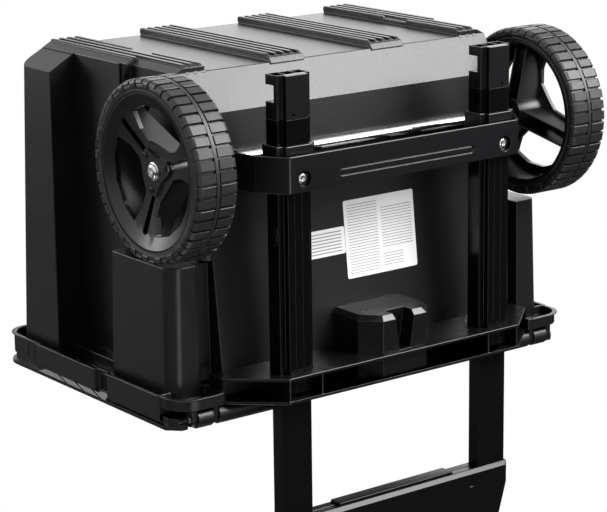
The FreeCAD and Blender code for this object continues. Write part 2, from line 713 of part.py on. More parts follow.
def latch_lugs():
    """Ears on the front skirt for the latch pins."""
    lugs = []
    for side in (-1, 1):
        x = LATCH_X + side * (LATCH_WIDTH / 2 - LUG_INSET)
        root, nose = LUG_HALF_HEIGHT
        skirt = RIM_FRONT_Y + BITE
        front = LATCH_PIVOT_Y - nose
        lug = prism([(skirt, LATCH_PIVOT_Z - root), (front, LATCH_PIVOT_Z - nose, LUG_R),
                     (front, LATCH_PIVOT_Z + nose, LUG_R), (skirt, LATCH_PIVOT_Z + root)],
                    "x", x - LUG / 2, x + LUG / 2)
        lugs.append(lug)
    return lugs + [mirrored(lug) for lug in lugs]


def body_tub():
    """Moulded tub with rim, skids, hinge ears and latch lugs."""
    panels = side_panels()
    right = middle_skid() + outer_skid() + well_fins()
    left = [mirrored(piece) for piece in right]
    solid = fuse([tub_form(0.0), rim_tray()] + panels + right + left + hinge_ears() + latch_lugs())
    wide = 2 * RIM_HALF_WIDTH
    mouth = box((-wide, wide), (RIM_STEP_Y, wide), (RIM_REAR_TOP_Z, RIM_TOP_Z + WALL))
    keep = fuse(hinge_ears())
    solid = solid.cut(tub_form(WALL))
    solid = solid.cut(mouth.cut(keep))
    pins = cylinder("x", HINGE_PIN_R + RUNNING, -RIM_HALF_WIDTH, RIM_HALF_WIDTH, HINGE_Y, HINGE_Z)
    latch_pins = cylinder("x", LATCH_PIN_R + RUNNING, -RIM_HALF_WIDTH, RIM_HALF_WIDTH,
                          LATCH_PIVOT_Y, LATCH_PIVOT_Z)
    return solid.cut(pins.fuse(latch_pins))


# ================================================================ guide rails and handle tubes

def rail_plan(grow, rib_grow):
    """Outline of the right rail: a flat box with a rib on its rear face."""
    half = RAIL_WIDTH / 2 + grow
    rib = RAIL_RIB_WIDTH / 2 + rib_grow
    front = RAIL_Y - grow
    rear = RAIL_REAR_Y + grow
    back = RAIL_BACK_Y + grow
    return [(RAIL_X - half, front), (RAIL_X + half, front), (RAIL_X + half, rear), (RAIL_X + rib, rear),
            (RAIL_X + rib, back), (RAIL_X - rib, back), (RAIL_X - rib, rear), (RAIL_X - half, rear)]


def guide_rail():
    """Extruded rail with an open channel for the tube and its lock pin."""
    outer = prism(rail_plan(0, 0), "z", FOOT_TOP_Z, RAIL_TOP_Z)
    inner = prism(rail_plan(-RAIL_WALL, -RAIL_WALL), "z", FOOT_TOP_Z, RAIL_TOP_Z)
    grooves = []
    for x in (RAIL_X - GROOVE_OFFSET, RAIL_X + GROOVE_OFFSET):
        grooves.append(cylinder("z", GROOVE_R, FOOT_TOP_Z, RAIL_TOP_Z, x, RAIL_BACK_Y))
    screw = cylinder("y", SCREW_R + SEAT_GAP, RAIL_REAR_Y, BRACKET_REAR_Y, RAIL_X, SCREW_Z)
    return outer.cut(inner).cut(fuse(grooves)).cut(screw)


def rail_foot():
    """Plug at the lower end of a rail: cells open downwards and a hook notch."""
    body = prism(rail_plan(0, 0), "z", FOOT_Z, FOOT_TOP_Z)
    spigot_gap = -RAIL_WALL - SEAT_GAP
    spigot = prism(rail_plan(spigot_gap, spigot_gap), "z", FOOT_TOP_Z, FOOT_TOP_Z + FOOT_SPIGOT)
    low = (RAIL_X - RAIL_WIDTH, RAIL_X + RAIL_WIDTH)
    notch = box(low, (RAIL_Y - BITE, RAIL_Y + FOOT_NOTCH_DEPTH), FOOT_NOTCH_Z)
    cells = []
    cell = (RAIL_WIDTH - 4 * RAIL_WALL) / 3
    depth = FOOT_NOTCH_Z[0] - RAIL_WALL - FOOT_Z
    for i in range(3):
        x = RAIL_X - RAIL_WIDTH / 2 + RAIL_WALL + i * (cell + RAIL_WALL)
        cells.append(box((x, x + cell), (RAIL_Y + RAIL_WALL, RAIL_REAR_Y - RAIL_WALL),
                         (FOOT_Z, FOOT_Z + depth)))
    hole = cylinder("y", FOOT_HOLE_R, RAIL_REAR_Y, RAIL_BACK_Y + BITE,
                    RAIL_X + FOOT_HOLE_OFFSET, FOOT_HOLE_Z)
    return body.fuse(spigot).cut(fuse([notch, hole] + cells))


def tube_plan(shrink):
    """Outline of the handle tube inside the rail."""
    half = RAIL_WIDTH / 2 - RAIL_WALL - TUBE_CLEARANCE - shrink
    front = RAIL_Y + RAIL_WALL + TUBE_CLEARANCE + shrink
    rear = RAIL_REAR_Y - RAIL_WALL - TUBE_CLEARANCE - shrink
    return [(RAIL_X - half, front), (RAIL_X + half, front), (RAIL_X + half, rear), (RAIL_X - half, rear)]


def handle_tube():
    """Inner tube of the telescope with the hole for its lock pin."""
    tube = prism(tube_plan(0), "z", TUBE_BOTTOM_Z, TUBE_TOP_Z)
    tube = tube.cut(prism(tube_plan(TUBE_WALL), "z", TUBE_BOTTOM_Z, TUBE_TOP_Z))
    arm = ARM_HALF + GAP
    arm_window = box((RAIL_X - RAIL_WIDTH / 2, RAIL_X), (TUBE_MID_Y - arm, TUBE_MID_Y + arm),
                     (ARM_Z - GAP, TUBE_TOP_Z + BITE))
    pin_hole = cylinder("y", PIN_R + RUNNING + GAP, TUBE_MID_Y, PIN_NOSE_Y, RAIL_X, PIN_Z)
    return tube.cut(arm_window).cut(pin_hole)


def tube_slider():
    """Block in the lower end of the tube that guides the lock pin and the release rod."""
    block = prism(tube_plan(TUBE_WALL + SEAT_GAP), "z", TUBE_BOTTOM_Z, TUBE_BOTTOM_Z + SLIDER_HEIGHT)
    bore = cylinder("y", PIN_R + RUNNING, RAIL_Y, RAIL_Y + 2 * RAIL_DEPTH, RAIL_X, PIN_Z)
    slot = box((RAIL_X - ROD_R - GAP, RAIL_X + ROD_R + GAP),
               (TUBE_MID_Y - SLOT_HALF_DEPTH, TUBE_MID_Y + SLOT_HALF_DEPTH),
               (TUBE_BOTTOM_Z + TUBE_WALL, TUBE_BOTTOM_Z + SLIDER_HEIGHT))
    return block.cut(bore).cut(slot)


def blade_points(grow):
    """Inclined blade that draws the pin back as the rod rises; grow widens it to the pin's slot."""
    reach = BLADE_REACH + (BLADE_RUN_OUT if grow else 0.0)
    thick = BLADE_HALF + grow
    return [(TUBE_MID_Y - reach - thick, PIN_Z - reach), (TUBE_MID_Y - reach + thick, PIN_Z - reach),
            (TUBE_MID_Y + reach + thick, PIN_Z + reach), (TUBE_MID_Y + reach - thick, PIN_Z + reach)]


def release_rod():
    """Pull rod from the release bar down to the inclined blade in the slider."""
    span = (RAIL_X - BLADE_WIDTH / 2, RAIL_X + BLADE_WIDTH / 2)
    blade = prism(blade_points(0), "x", span[0], span[1])
    top = PIN_Z + BLADE_REACH
    foot = box(span, (TUBE_MID_Y - BLADE_WIDTH / 2, TUBE_MID_Y + BLADE_REACH + BLADE_HALF),
               (top - BITE / 2, top + ROD_FOOT))
    rod = cylinder("z", ROD_R, top + ROD_FOOT - BITE, ARM_Z, RAIL_X, TUBE_MID_Y)
    return fuse([blade, foot, rod])


def lock_pin():
    """Round pin with an inclined slot; its nose runs in the rail's rear channel."""
    pin = cylinder("y", PIN_R, PIN_FRONT_Y + RELEASE_TRAVEL, PIN_NOSE_Y, RAIL_X, PIN_Z)
    half = BLADE_WIDTH / 2 + GAP
    slot = prism(blade_points(GAP), "x", RAIL_X - half, RAIL_X + half)
    return pin.cut(slot)


# ================================================================ beam, bracket, catch, axle

def guide_beam():
    """U shaped beam behind the rim: two plates, end walls and ribs beside the rails."""
    wall_y = drafted(REAR_Y, REAR_DRAFT, BEAM_Z) - WALL
    half = [(BEAM_FLAT_HALF, BEAM_REAR_Y, BEAM_CORNER_R[0]), (BEAM_END_HALF, BEAM_END_Y, BEAM_CORNER_R[1]),
            (BEAM_END_HALF, wall_y)]
    plan = [(-x, *rest) for x, *rest in half] + list(reversed(half))
    plate = prism(plan, "z", BEAM_Z, BEAM_Z + BEAM_PLATE)
    top = prism(plan, "z", BEAM_TOP_Z - BEAM_PLATE, BEAM_TOP_Z)
    ribs = []
    for x in BEAM_RIB_X:
        ribs.append(box((x - BEAM_RIB / 2, x + BEAM_RIB / 2), (wall_y, BEAM_REAR_Y - BITE),
                        (BEAM_Z, BEAM_TOP_Z)))
    inner_end = BEAM_END_HALF - BEAM_RIB
    end = prism([(inner_end, wall_y), (BEAM_END_HALF, wall_y), (BEAM_END_HALF, BEAM_END_Y),
                 (inner_end, BEAM_END_Y + BEAM_RIB)], "z", BEAM_Z, BEAM_TOP_Z)
    ribs += [end] + [mirrored(rib) for rib in ribs] + [mirrored(end)]
    beam = fuse([plate, top] + ribs)
    rail_hole = prism(rail_plan(GAP, GAP), "z", BEAM_Z - BITE, BEAM_TOP_Z - BEAM_PLATE)
    tube_hole = prism(tube_plan(-TUBE_CLEARANCE), "z", BEAM_Z, BEAM_TOP_Z + BITE)
    cuts = [tub_form(-SEAT_GAP), catch_form()]
    for hole in (rail_hole, tube_hole):
        cuts += [hole, mirrored(hole)]
    for cut in cuts:
        beam = beam.cut(cut)
    return beam


def catch_form():
    """Outer shape of the catch block, chamfered at its lower edge."""
    wall_y = drafted(REAR_Y, REAR_DRAFT, CATCH_Z) - WALL

    def plan(step):
        """Outline of the block, moved inwards by a step."""
        side = CATCH_HALF_WIDTH - step
        half = [(CATCH_REAR_HALF - step / 2, CATCH_REAR_Y - step), (side, CATCH_SIDE_Y - step),
                (side, wall_y)]
        return [(-x, y) for x, y in half] + list(reversed(half))

    low = loft((plan(CATCH_CHAMFER), CATCH_Z), (plan(0), CATCH_Z + CATCH_CHAMFER))
    high = prism(plan(0), "z", CATCH_Z + CATCH_CHAMFER, BEAM_TOP_Z - BEAM_PLATE)
    return fuse([low, high])


def catch_block():
    """Catch block with a tapered slot open towards the ground."""
    mouth, end = CATCH_SLOT
    slot = prism([(-mouth, CATCH_Z), (mouth, CATCH_Z), (end, BEAM_Z - BITE), (-end, BEAM_Z - BITE)],
                 "y", CATCH_REAR_Y - CATCH_SLOT_DEPTH, CATCH_REAR_Y + BITE)
    return catch_form().cut(slot).cut(tub_form(-SEAT_GAP))


def lower_bracket():
    """Open bottomed bracket that carries the rails and the axle."""
    rear_r, side_r = BRACKET_CORNER_R
    half = [(BRACKET_FLAT_HALF, BRACKET_REAR_Y, rear_r), (BRACKET_CHAMFER[0], BRACKET_CHAMFER[1], side_r),
            (BRACKET_HALF_WIDTH, BRACKET_SIDE_Y, side_r), (BRACKET_HALF_WIDTH, BRACKET_FRONT_Y)]
    plan = list(reversed([(-point[0],) + point[1:] for point in half])) + half
    plan = [tuple(point) for point in reversed(plan)]
    outer = prism(plan, "z", BRACKET_Z, BRACKET_TOP_Z)
    void = prism(inset(plan, BRACKET_WALL), "z", BRACKET_Z - BITE, BRACKET_TOP_Z - BRACKET_WALL)
    shell = outer.cut(void)
    sleeve = prism(rail_plan(SLEEVE_WALL, SLEEVE_WALL), "z", SLEEVE_Z, SLEEVE_TOP_Z)
    adds = [sleeve, mirrored(sleeve)]
    for x in BRACKET_RIB_X:
        rib = box((x - BRACKET_RIB / 2, x + BRACKET_RIB / 2), (BRACKET_RIB_FRONT_Y, BRACKET_REAR_Y - BITE),
                  (BRACKET_RIB_Z, BRACKET_TOP_Z - BITE))
        adds += [rib, mirrored(rib)]
    saddle = box((BRACKET_HALF_WIDTH - SADDLE, BRACKET_HALF_WIDTH),
                 (AXLE_Y - SADDLE_HALF_LENGTH, AXLE_Y + SADDLE_HALF_LENGTH), (BRACKET_Z, BRACKET_TOP_Z))
    adds += [saddle, mirrored(saddle)]
    boss = cylinder("y", SCREW_POCKET_R + SCREW_POCKET_WALL, RAIL_BACK_Y, BRACKET_REAR_Y, RAIL_X, SCREW_Z)
    boss = boss.common(outer)
    adds += [boss, mirrored(boss)]
    bracket = fuse([shell] + adds)
    rail = prism(rail_plan(SEAT_GAP, SEAT_GAP), "z", SLEEVE_Z - BITE, SLEEVE_TOP_Z + BITE)
    pocket = cylinder("y", SCREW_POCKET_R, BRACKET_REAR_Y - SCREW_POCKET_DEPTH, BRACKET_REAR_Y + BITE,
                      RAIL_X, SCREW_Z)
    screw = cylinder("y", SCREW_R + SEAT_GAP, RAIL_REAR_Y, BRACKET_REAR_Y, RAIL_X, SCREW_Z)
    axle = cylinder("x", AXLE_DIAMETER / 2 + RUNNING, -WHEEL_OUTER_X, WHEEL_OUTER_X,
                    AXLE_Y, WHEEL_DIAMETER / 2)
    cuts = [tub_form(-SEAT_GAP), axle, bar_groove()]
    for hole in (rail, pocket, screw):
        cuts += [hole, mirrored(hole)]
    for cut in cuts:
        bracket = bracket.cut(cut)
    return bracket


def bar_groove():
    """Groove round a long bar with pointed ends, on the bracket's rear face."""
    low, high = BAR_Z
    point = (high - low) / 2
    bar = [(-BAR_HALF + point, low), (BAR_HALF - point, low), (BAR_HALF, low + point),
           (BAR_HALF - point, high), (-BAR_HALF + point, high), (-BAR_HALF, low + point)]
    floor = BRACKET_REAR_Y - BAR_GROOVE_DEPTH
    whole = prism(bar, "y", floor, BRACKET_REAR_Y + BITE)
    return whole.cut(prism(inset(bar, BAR_GROOVE), "y", floor - BITE, BRACKET_REAR_Y + 2 * BITE))


def bracket_screw():
    """Pan head screw in the bracket's pocket."""
    seat = BRACKET_REAR_Y - SCREW_POCKET_DEPTH
    head = cylinder("y", SCREW_HEAD_R, seat, seat + SCREW_HEAD, RAIL_X, SCREW_Z)
    shank = cylinder("y", SCREW_R, RAIL_BACK_Y - RAIL_WALL + GAP, seat, RAIL_X, SCREW_Z)
    return head.fuse(shank)


def axle_rod():
    """Steel rod from bolt to bolt."""
    end = HUB_FACE_X - HUB_PLATE
    return cylinder("x", AXLE_DIAMETER / 2, -end, end, AXLE_Y, WHEEL_DIAMETER / 2)


def axle_bush():
    """Spacer sleeve between the bracket and the wheel's hub."""
    start = BRACKET_HALF_WIDTH + BUSH_GAP
    end = HUB_INNER_X - GAP
    outer = cylinder("x", AXLE_DIAMETER / 2 + BUSH_WALL, start, end, AXLE_Y, WHEEL_DIAMETER / 2)
    return outer.cut(cylinder("x", AXLE_DIAMETER / 2 + RUNNING, start, end, AXLE_Y, WHEEL_DIAMETER / 2))


# ================================================================ wheels

def revolved_x(points):
    """Ring turned about the axle from (radius, x) points."""
    vertices = [Vec(x, AXLE_Y, WHEEL_DIAMETER / 2 + r) for r, x in points]
    wire = Part.makePolygon(vertices + [vertices[0]])
    face = Part.Face(wire)
    return face.revolve(Vec(0, AXLE_Y, WHEEL_DIAMETER / 2), Vec(1, 0, 0), 360)


def polar(radius, degrees):
    """(y, z) of a point around the axle."""
    angle = math.radians(degrees)
    return AXLE_Y + radius * math.cos(angle), WHEEL_DIAMETER / 2 + radius * math.sin(angle)


def across(radius, offset, degrees):
    """(y, z) of a point at a radius, moved square to the direction of the angle."""
    angle = math.radians(degrees)
    along = math.sqrt(radius * radius - offset * offset)
    y = AXLE_Y + along * math.cos(angle) - offset * math.sin(angle)
    z = WHEEL_DIAMETER / 2 + along * math.sin(angle) + offset * math.cos(angle)
    return y, z


def window(start, end):
    """Opening between two spoke pairs whose middles lie at the angles start and end."""
    middle = (start + end) / 2
    inner, outer = WINDOW_R
    knee = WINDOW_KNEE * outer
    bulge = WINDOW_BULGE * outer
    inner_r, knee_r, outer_r = WINDOW_CORNER_R
    return [
        across(inner, SPOKE_HALF, start) + (inner_r,),
        across(knee, SPOKE_HALF, start) + (knee_r,),
        across(outer, SPOKE_ROOT_HALF, start) + (outer_r,),
        polar(bulge, middle - WINDOW_HALF_ANGLE),
        polar(bulge, middle),
        polar(bulge, middle + WINDOW_HALF_ANGLE),
        across(outer, -SPOKE_ROOT_HALF, end) + (outer_r,),
        across(knee, -SPOKE_HALF, end) + (knee_r,),
        across(inner, -SPOKE_HALF, end) + (inner_r,),
    ]


def wheel_rim():
    """Spoked rim with its hub; the spokes come in pairs with a slot between."""
    face = WHEEL_OUTER_X - RIM_OUTSET
    inner = WHEEL_OUTER_X - TYRE_WIDTH + RIM_OUTSET
    bend, bend_x = WEB_BEND
    band = RIM_RADIUS - RIM_BAND
    bore = AXLE_DIAMETER / 2 + RUNNING
    profile = [
        (bore, HUB_INNER_X), (HUB_R, HUB_INNER_X), (HUB_R, HUB_FACE_X - WEB), (bend, bend_x - WEB),
        (band, bend_x - WEB), (band, inner), (RIM_RADIUS, inner), (RIM_RADIUS, face),
        (RIM_RADIUS - WEB_LIP, face), (bend, bend_x), (HUB_PLATE_R, HUB_FACE_X), (bore, HUB_FACE_X),
    ]
    rim = revolved_x(profile)
    cuts = []
    ribs = []
    near, far = SLOT_R
    for i, angle in enumerate(SPOKE_ANGLES):
        following = SPOKE_ANGLES[(i + 1) % len(SPOKE_ANGLES)]
        if following < angle:
            following += 360
        cuts.append(prism(window(angle, following), "x", inner, face + BITE))
        slot = [across(near, -SLOT_NEAR_HALF, angle), across(far, -SLOT_HALF, angle) + (SLOT_END_R,),
                across(far, SLOT_HALF, angle) + (SLOT_END_R,), across(near, SLOT_NEAR_HALF, angle)]
        cuts.append(prism(slot, "x", inner, face + BITE))
        for side in (-1, 1):
            offset = side * (SPOKE_HALF + SLOT_HALF) / 2
            ribs.append(spoke_rib(angle, offset, face))
    rim = rim.cut(fuse(cuts))
    return fuse([rim] + ribs)


def spoke_rib(angle, offset, face):
    """Thin rib behind one spoke, from the hub boss out to the band."""
    low = AXLE_Y + math.sqrt(HUB_R * HUB_R - offset * offset) - BITE
    high = AXLE_Y + math.sqrt((RIM_RADIUS - RIM_BAND + BITE) ** 2 - offset * offset)
    level = WHEEL_DIAMETER / 2 + offset - SPOKE_RIB / 2
    hub_x = HUB_FACE_X - BITE
    web_x = WEB_BEND[1] - BITE
    points = [(HUB_INNER_X + WALL, low), (hub_x, low), (hub_x, AXLE_Y + HUB_PLATE_R),
              (web_x, AXLE_Y + WEB_BEND[0]), (web_x, high), (face - SPOKE_DEPTH, high)]
    rib = prism(points, "z", level, level + SPOKE_RIB)
    return turned_x(rib, angle, AXLE_Y, WHEEL_DIAMETER / 2)


def hub_plate():
    """Three-lobed plate over the hub."""
    points = []
    for angle in SPOKE_ANGLES:
        points.append(across(HUB_PLATE_R, -HUB_LOBE_HALF, angle) + (HUB_LOBE_R,))
        points.append(across(HUB_PLATE_R, HUB_LOBE_HALF, angle) + (HUB_LOBE_R,))
        points.append(polar(HUB_WAIST_R, angle + 180 / len(SPOKE_ANGLES)))
    plate = prism(points, "x", HUB_FACE_X, HUB_FACE_X + HUB_PLATE)
    holes = [cylinder("x", AXLE_DIAMETER / 2 + RUNNING, HUB_FACE_X, HUB_FACE_X + HUB_PLATE,
                      AXLE_Y, WHEEL_DIAMETER / 2)]
    for angle in SPOKE_ANGLES:
        y, z = polar(HUB_SCREW_CIRCLE, angle)
        holes.append(cylinder("x", HUB_SCREW_R + SEAT_GAP, HUB_FACE_X, HUB_FACE_X + HUB_PLATE, y, z))
    return plate.cut(fuse(holes))


def hub_screws():
    """Three small screws that hold the hub plate."""
    screws = []
    for angle in SPOKE_ANGLES:
        y, z = polar(HUB_SCREW_CIRCLE, angle)
        outer = HUB_FACE_X + HUB_PLATE
        head = cylinder("x", HUB_SCREW_HEAD_R, outer, outer + HUB_SCREW_HEAD, y, z)
        screws.append(head.fuse(cylinder("x", HUB_SCREW_R, HUB_FACE_X, outer, y, z)))
    return Part.makeCompound(screws)


def axle_bolt():
    """Button head bolt and washer on the axle's end."""
    seat = HUB_FACE_X + HUB_PLATE + GAP
    washer = cylinder("x", BOLT_WASHER_R, seat, seat + BOLT_WASHER, AXLE_Y, WHEEL_DIAMETER / 2)
    head = cylinder("x", BOLT_HEAD_R, seat, seat + BOLT_HEAD, AXLE_Y, WHEEL_DIAMETER / 2)
    crown = [edge for edge in head.Edges if edge.BoundBox.XMin > seat + BOLT_HEAD - BITE]
    head = head.makeChamfer(BOLT_HEAD / 2, crown)
    shank = cylinder("x", BOLT_SHANK_R, HUB_FACE_X - HUB_PLATE, seat, AXLE_Y, WHEEL_DIAMETER / 2)
    return fuse([washer, head, shank])


def tyre():
    """Tyre with sloped shoulders and a centre groove."""
    inner = WHEEL_OUTER_X - TYRE_WIDTH
    seat = RIM_RADIUS + SEAT_GAP
    radius = WHEEL_DIAMETER / 2
    middle = (inner + WHEEL_OUTER_X) / 2
    groove = TREAD_GROOVE / 2
    low = radius - TREAD_DEPTH
    profile = [
        (seat, inner), (radius - SHOULDER, inner), (radius, inner + SHOULDER), (radius, middle - groove),
        (low, middle - groove), (low, middle + groove), (radius, middle + groove),
        (radius, WHEEL_OUTER_X - SHOULDER), (radius - SHOULDER, WHEEL_OUTER_X), (seat, WHEEL_OUTER_X),
    ]
    return revolved_x(profile)


# ================================================================ grip and release

def grip_points():
    """Outline of the grip seen from the rear."""
    half = [(GRIP_HALF_WIDTH, GRIP_Z), (GRIP_HALF_WIDTH, GRIP_SHOULDER_Z), (GRIP_TOP_HALF, GRIP_TOP_Z)]
    return both_sides(half)


def grip_halves():
    """Front and rear shells of the grip with the pocket for the release bar."""
    front, rear = GRIP_Y
    whole = prism(grip_points(), "y", front, rear)
    edges = [edge for edge in whole.Edges if edge.BoundBox.YLength < 0.1]
    whole = whole.makeChamfer(GRIP_CHAMFER, edges)
    pocket_half = RAIL_X + RAIL_WIDTH / 2 - GRIP_POCKET_INSET
    pocket = box((-pocket_half, pocket_half), (front + GRIP_WALL, rear - GRIP_WALL),
                 (GRIP_Z + GRIP_WALL, GRIP_POCKET_TOP_Z))
    mouth = box((-RELEASE_HALF - GAP, RELEASE_HALF + GAP), (RELEASE_Y[0] - GAP, RELEASE_Y[1] + GAP),
                (GRIP_Z - BITE, GRIP_Z + GRIP_WALL + BITE))
    tube = prism(tube_plan(-SEAT_GAP), "z", GRIP_Z - BITE, TUBE_TOP_Z)
    panel = box((-GRIP_PANEL_HALF, GRIP_PANEL_HALF), (rear - GRIP_PANEL_DEPTH, rear + BITE), GRIP_PANEL_Z)
    slot = box(GRIP_SLOT_X, (rear - GRIP_WALL / 2, rear + BITE), GRIP_SLOT_Z)
    solid = whole.cut(fuse([pocket, mouth, tube, mirrored(tube), panel, slot]))
    wide = 2 * GRIP_HALF_WIDTH
    front_half = solid.common(box((-wide, wide), (front - BITE, GRIP_SPLIT_Y), (0, 2 * GRIP_TOP_Z)))
    rear_half = solid.common(box((-wide, wide), (GRIP_SPLIT_Y, rear + BITE), (0, 2 * GRIP_TOP_Z)))
    return front_half, rear_half


def grip_screws():
    """Screws that join the two halves of the grip from the front."""
    start, end = GRIP_SCREW_HEAD_Y
    screws = []
    for x in GRIP_SCREW_X:
        head = cylinder("y", GRIP_SCREW_HEAD_R, start, end, x, GRIP_SCREW_Z)
        screws.append(head.fuse(cylinder("y", GRIP_SCREW_R, end, GRIP_SCREW_END_Y, x, GRIP_SCREW_Z)))
    return screws


def release_bar():
    """Squeeze bar in the underside of the grip with arms out to the rods."""
    finger = box((-RELEASE_HALF, RELEASE_HALF), RELEASE_Y, (RELEASE_Z, GRIP_Z + GRIP_WALL + BITE))
    arm_end = RAIL_X + ROD_R + BITE
    arm = box((-arm_end, arm_end), (TUBE_MID_Y - ARM_HALF, TUBE_MID_Y + ARM_HALF),
              (ARM_Z, ARM_Z + ARM_THICKNESS))
    return fuse([finger, arm])


# ================================================================ lid and latches

def lid_half(step):
    """Right half of the lid's outline, moved inwards by a step."""
    return [(LID_HALF_WIDTH - step, LID_FRONT_Y + step, max(RIM_CORNER_R - step, 1.0)),
            (LID_HALF_WIDTH - step, HINGE_Y - LID_REAR_CHAMFER),
            (LID_HALF_WIDTH - LID_REAR_CHAMFER, HINGE_Y)]


def lid():
    """Lid: edge band, raised crown, rolled rear edge on the hinge line."""
    bottom = RIM_TOP_Z + LID_GAP
    skirt = prism(both_sides(lid_half(LID_SIDE_INSET)), "z", bottom, LID_EDGE_Z)
    band = prism(both_sides(lid_half(0)), "z", LID_EDGE_Z, LID_TOP_Z)
    crown = both_sides([point + (CROWN_R,) for point in CROWN])
    raised = prism(crown, "z", LID_TOP_Z - BITE, LID_CROWN_Z)
    roll_end = HINGE_EARS[1][0] - GAP
    roll = cylinder("x", HINGE_ROLL_R, -roll_end, roll_end, HINGE_Y, HINGE_Z)
    under = LID_TOP_Z - LID_WALL
    void = prism(both_sides(lid_half(LID_SIDE_INSET + LID_WALL)), "z", bottom - BITE, under)
    rear = box((-RIM_HALF_WIDTH, RIM_HALF_WIDTH), (RIM_STEP_Y, 2 * HINGE_Y), (bottom - BITE, LID_TOP_Z))
    crown_void = prism(inset(crown, LID_WALL), "z", under - BITE, LID_CROWN_Z - LID_WALL)
    shell = fuse([skirt, band, raised]).cut(void.cut(rear)).cut(crown_void)
    facet = lid_facet(0.0)
    slits = facet_slits()
    body = fuse([shell, roll, facet, mirrored(facet)])
    cuts = [slits, mirrored(slits)]
    cuts.append(cylinder("x", HINGE_PIN_R + RUNNING, -RIM_HALF_WIDTH, RIM_HALF_WIDTH, HINGE_Y, HINGE_Z))
    for low, high in HINGE_EARS:
        slot = box((low - GAP, high + GAP), HINGE_SLOT_Y, (RIM_REAR_TOP_Z, LID_TOP_Z + BITE))
        cuts += [slot, mirrored(slot)]
    return body.cut(fuse(cuts))


def lid_facet(depth):
    """Sloped face under the lid's side edge, moved inwards by a depth, with tapered ends."""
    bottom = RIM_TOP_Z + LID_GAP
    top = LID_EDGE_Z + BITE
    slope = (LID_HALF_WIDTH - FACET_X) / (LID_EDGE_Z - bottom)
    inner = LID_HALF_WIDTH - LID_SIDE_INSET - LID_WALL
    low_x = FACET_X - depth
    high_x = low_x + slope * (top - bottom)
    front, rear = FACET_Y
    wedge = prism([(inner, bottom), (low_x, bottom), (high_x, top), (inner, top)], "y", front, rear)
    ends = prism([(front, LID_EDGE_Z), (front + FACET_TAPER, bottom), (rear, bottom), (rear, top),
                  (front, top)], "x", inner - BITE, LID_HALF_WIDTH)
    return wedge.common(ends)


def facet_slits():
    """Slanted grooves across the sloped face."""
    bottom = RIM_TOP_Z + LID_GAP + BITE
    top = LID_EDGE_Z
    slits = []
    for low_y in FACET_SLIT_Y:
        high_y = low_y + FACET_SLIT_LEAN
        slits.append(prism([(low_y, bottom), (low_y + FACET_SLIT, bottom), (high_y + FACET_SLIT, top),
                            (high_y, top)], "x", FACET_X - LID_WALL, LID_HALF_WIDTH))
    return fuse(slits).cut(lid_facet(FACET_SLIT_DEPTH))


def hinge_pins():
    """One pin for each hinge."""
    pin = cylinder("x", HINGE_PIN_R, HINGE_EARS[0][0], HINGE_EARS[1][1], HINGE_Y, HINGE_Z)
    return Part.makeCompound([pin, mirrored(pin)])


def latch():
    """Front latch: a plate on a pivot with a nose that hooks over the lid's edge."""
    low = LATCH_X - LATCH_WIDTH / 2
    high = LATCH_X + LATCH_WIDTH / 2
    front = LATCH_PIVOT_Y - LATCH_STANDOFF - LATCH_PLATE
    nose_z = LID_TOP_Z + GAP
    back = front + LATCH_PLATE
    nose_top = nose_z + LATCH_PLATE
    profile = [(front, LATCH_BOTTOM_Z), (back, LATCH_BOTTOM_Z), (back, nose_z), (LATCH_NOSE_Y, nose_z),
               (LATCH_NOSE_Y, nose_top), (front, nose_top, LATCH_NOSE_R)]
    plate = prism(profile, "x", low, high)
    eyes = []
    for offset in LATCH_EYE_X:
        start = LATCH_X + offset
        stem = box((start, start + LATCH_EYE), (front + BITE, LATCH_PIVOT_Y),
                   (LATCH_PIVOT_Z - LATCH_EYE_R, LATCH_PIVOT_Z + LATCH_EYE_R))
        eyes.append(stem)
        eyes.append(cylinder("x", LATCH_EYE_R, start, start + LATCH_EYE, LATCH_PIVOT_Y, LATCH_PIVOT_Z))
    bore = cylinder("x", LATCH_PIN_R + RUNNING, low, high, LATCH_PIVOT_Y, LATCH_PIVOT_Z)
    body = fuse([plate] + eyes).cut(bore)
    return turned_x(body, LATCH_AJAR, LATCH_PIVOT_Y, LATCH_PIVOT_Z)


def latch_pin():
    """Pivot pin of a latch, held by the lugs on the tub."""
    half = LATCH_WIDTH / 2 - LATCH_PIN_INSET
    return cylinder("x", LATCH_PIN_R, LATCH_X - half, LATCH_X + half, LATCH_PIVOT_Y, LATCH_PIVOT_Z)


# ================================================================ pieces

write("body_tub", body_tub())
write("rear_guide_beam", guide_beam())
write("rear_catch_block", catch_block())
write("lower_guide_bracket", lower_bracket())
screw_right = bracket_screw()
write("bracket_screws", Part.makeCompound([screw_right, mirrored(screw_right)]))
write_pair("guide_rail", guide_rail())
write_pair("rail_foot", rail_foot())
write("axle_rod", axle_rod())
write_pair("axle_bush", axle_bush())
bolt_right = axle_bolt()
write("axle_bolts", Part.makeCompound([bolt_right, mirrored(bolt_right)]))
write_wheel_pair("wheel_rim", wheel_rim())
write_pair("tyre", tyre())
write_wheel_pair("hub_plate", hub_plate())
write_wheel_pair("hub_screws", hub_screws())
write_pair("handle_tube", handle_tube())
write_pair("tube_slider", tube_slider())
write_pair("release_rod", release_rod())
write_pair("lock_pin", lock_pin())
grip_front, grip_rear = grip_halves()
write("grip_front_half", grip_front.cut(fuse(grip_screws())))
write("grip_rear_half", grip_rear.cut(fuse(grip_screws())))
write("grip_screws", Part.makeCompound(grip_screws()))
write("release_bar", release_bar())
write("lid", lid())
write("lid_hinge_pins", hinge_pins())
write_pair("front_latch", latch())
pin_right = latch_pin()
write("latch_pins", Part.makeCompound([pin_right, mirrored(pin_right)]))
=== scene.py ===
"""Wheeled storage box with a telescopic handle: finished surfaces, tyres, screws and labels."""
import json
import math

import bmesh
import bpy
from mathutils import Matrix, Vector


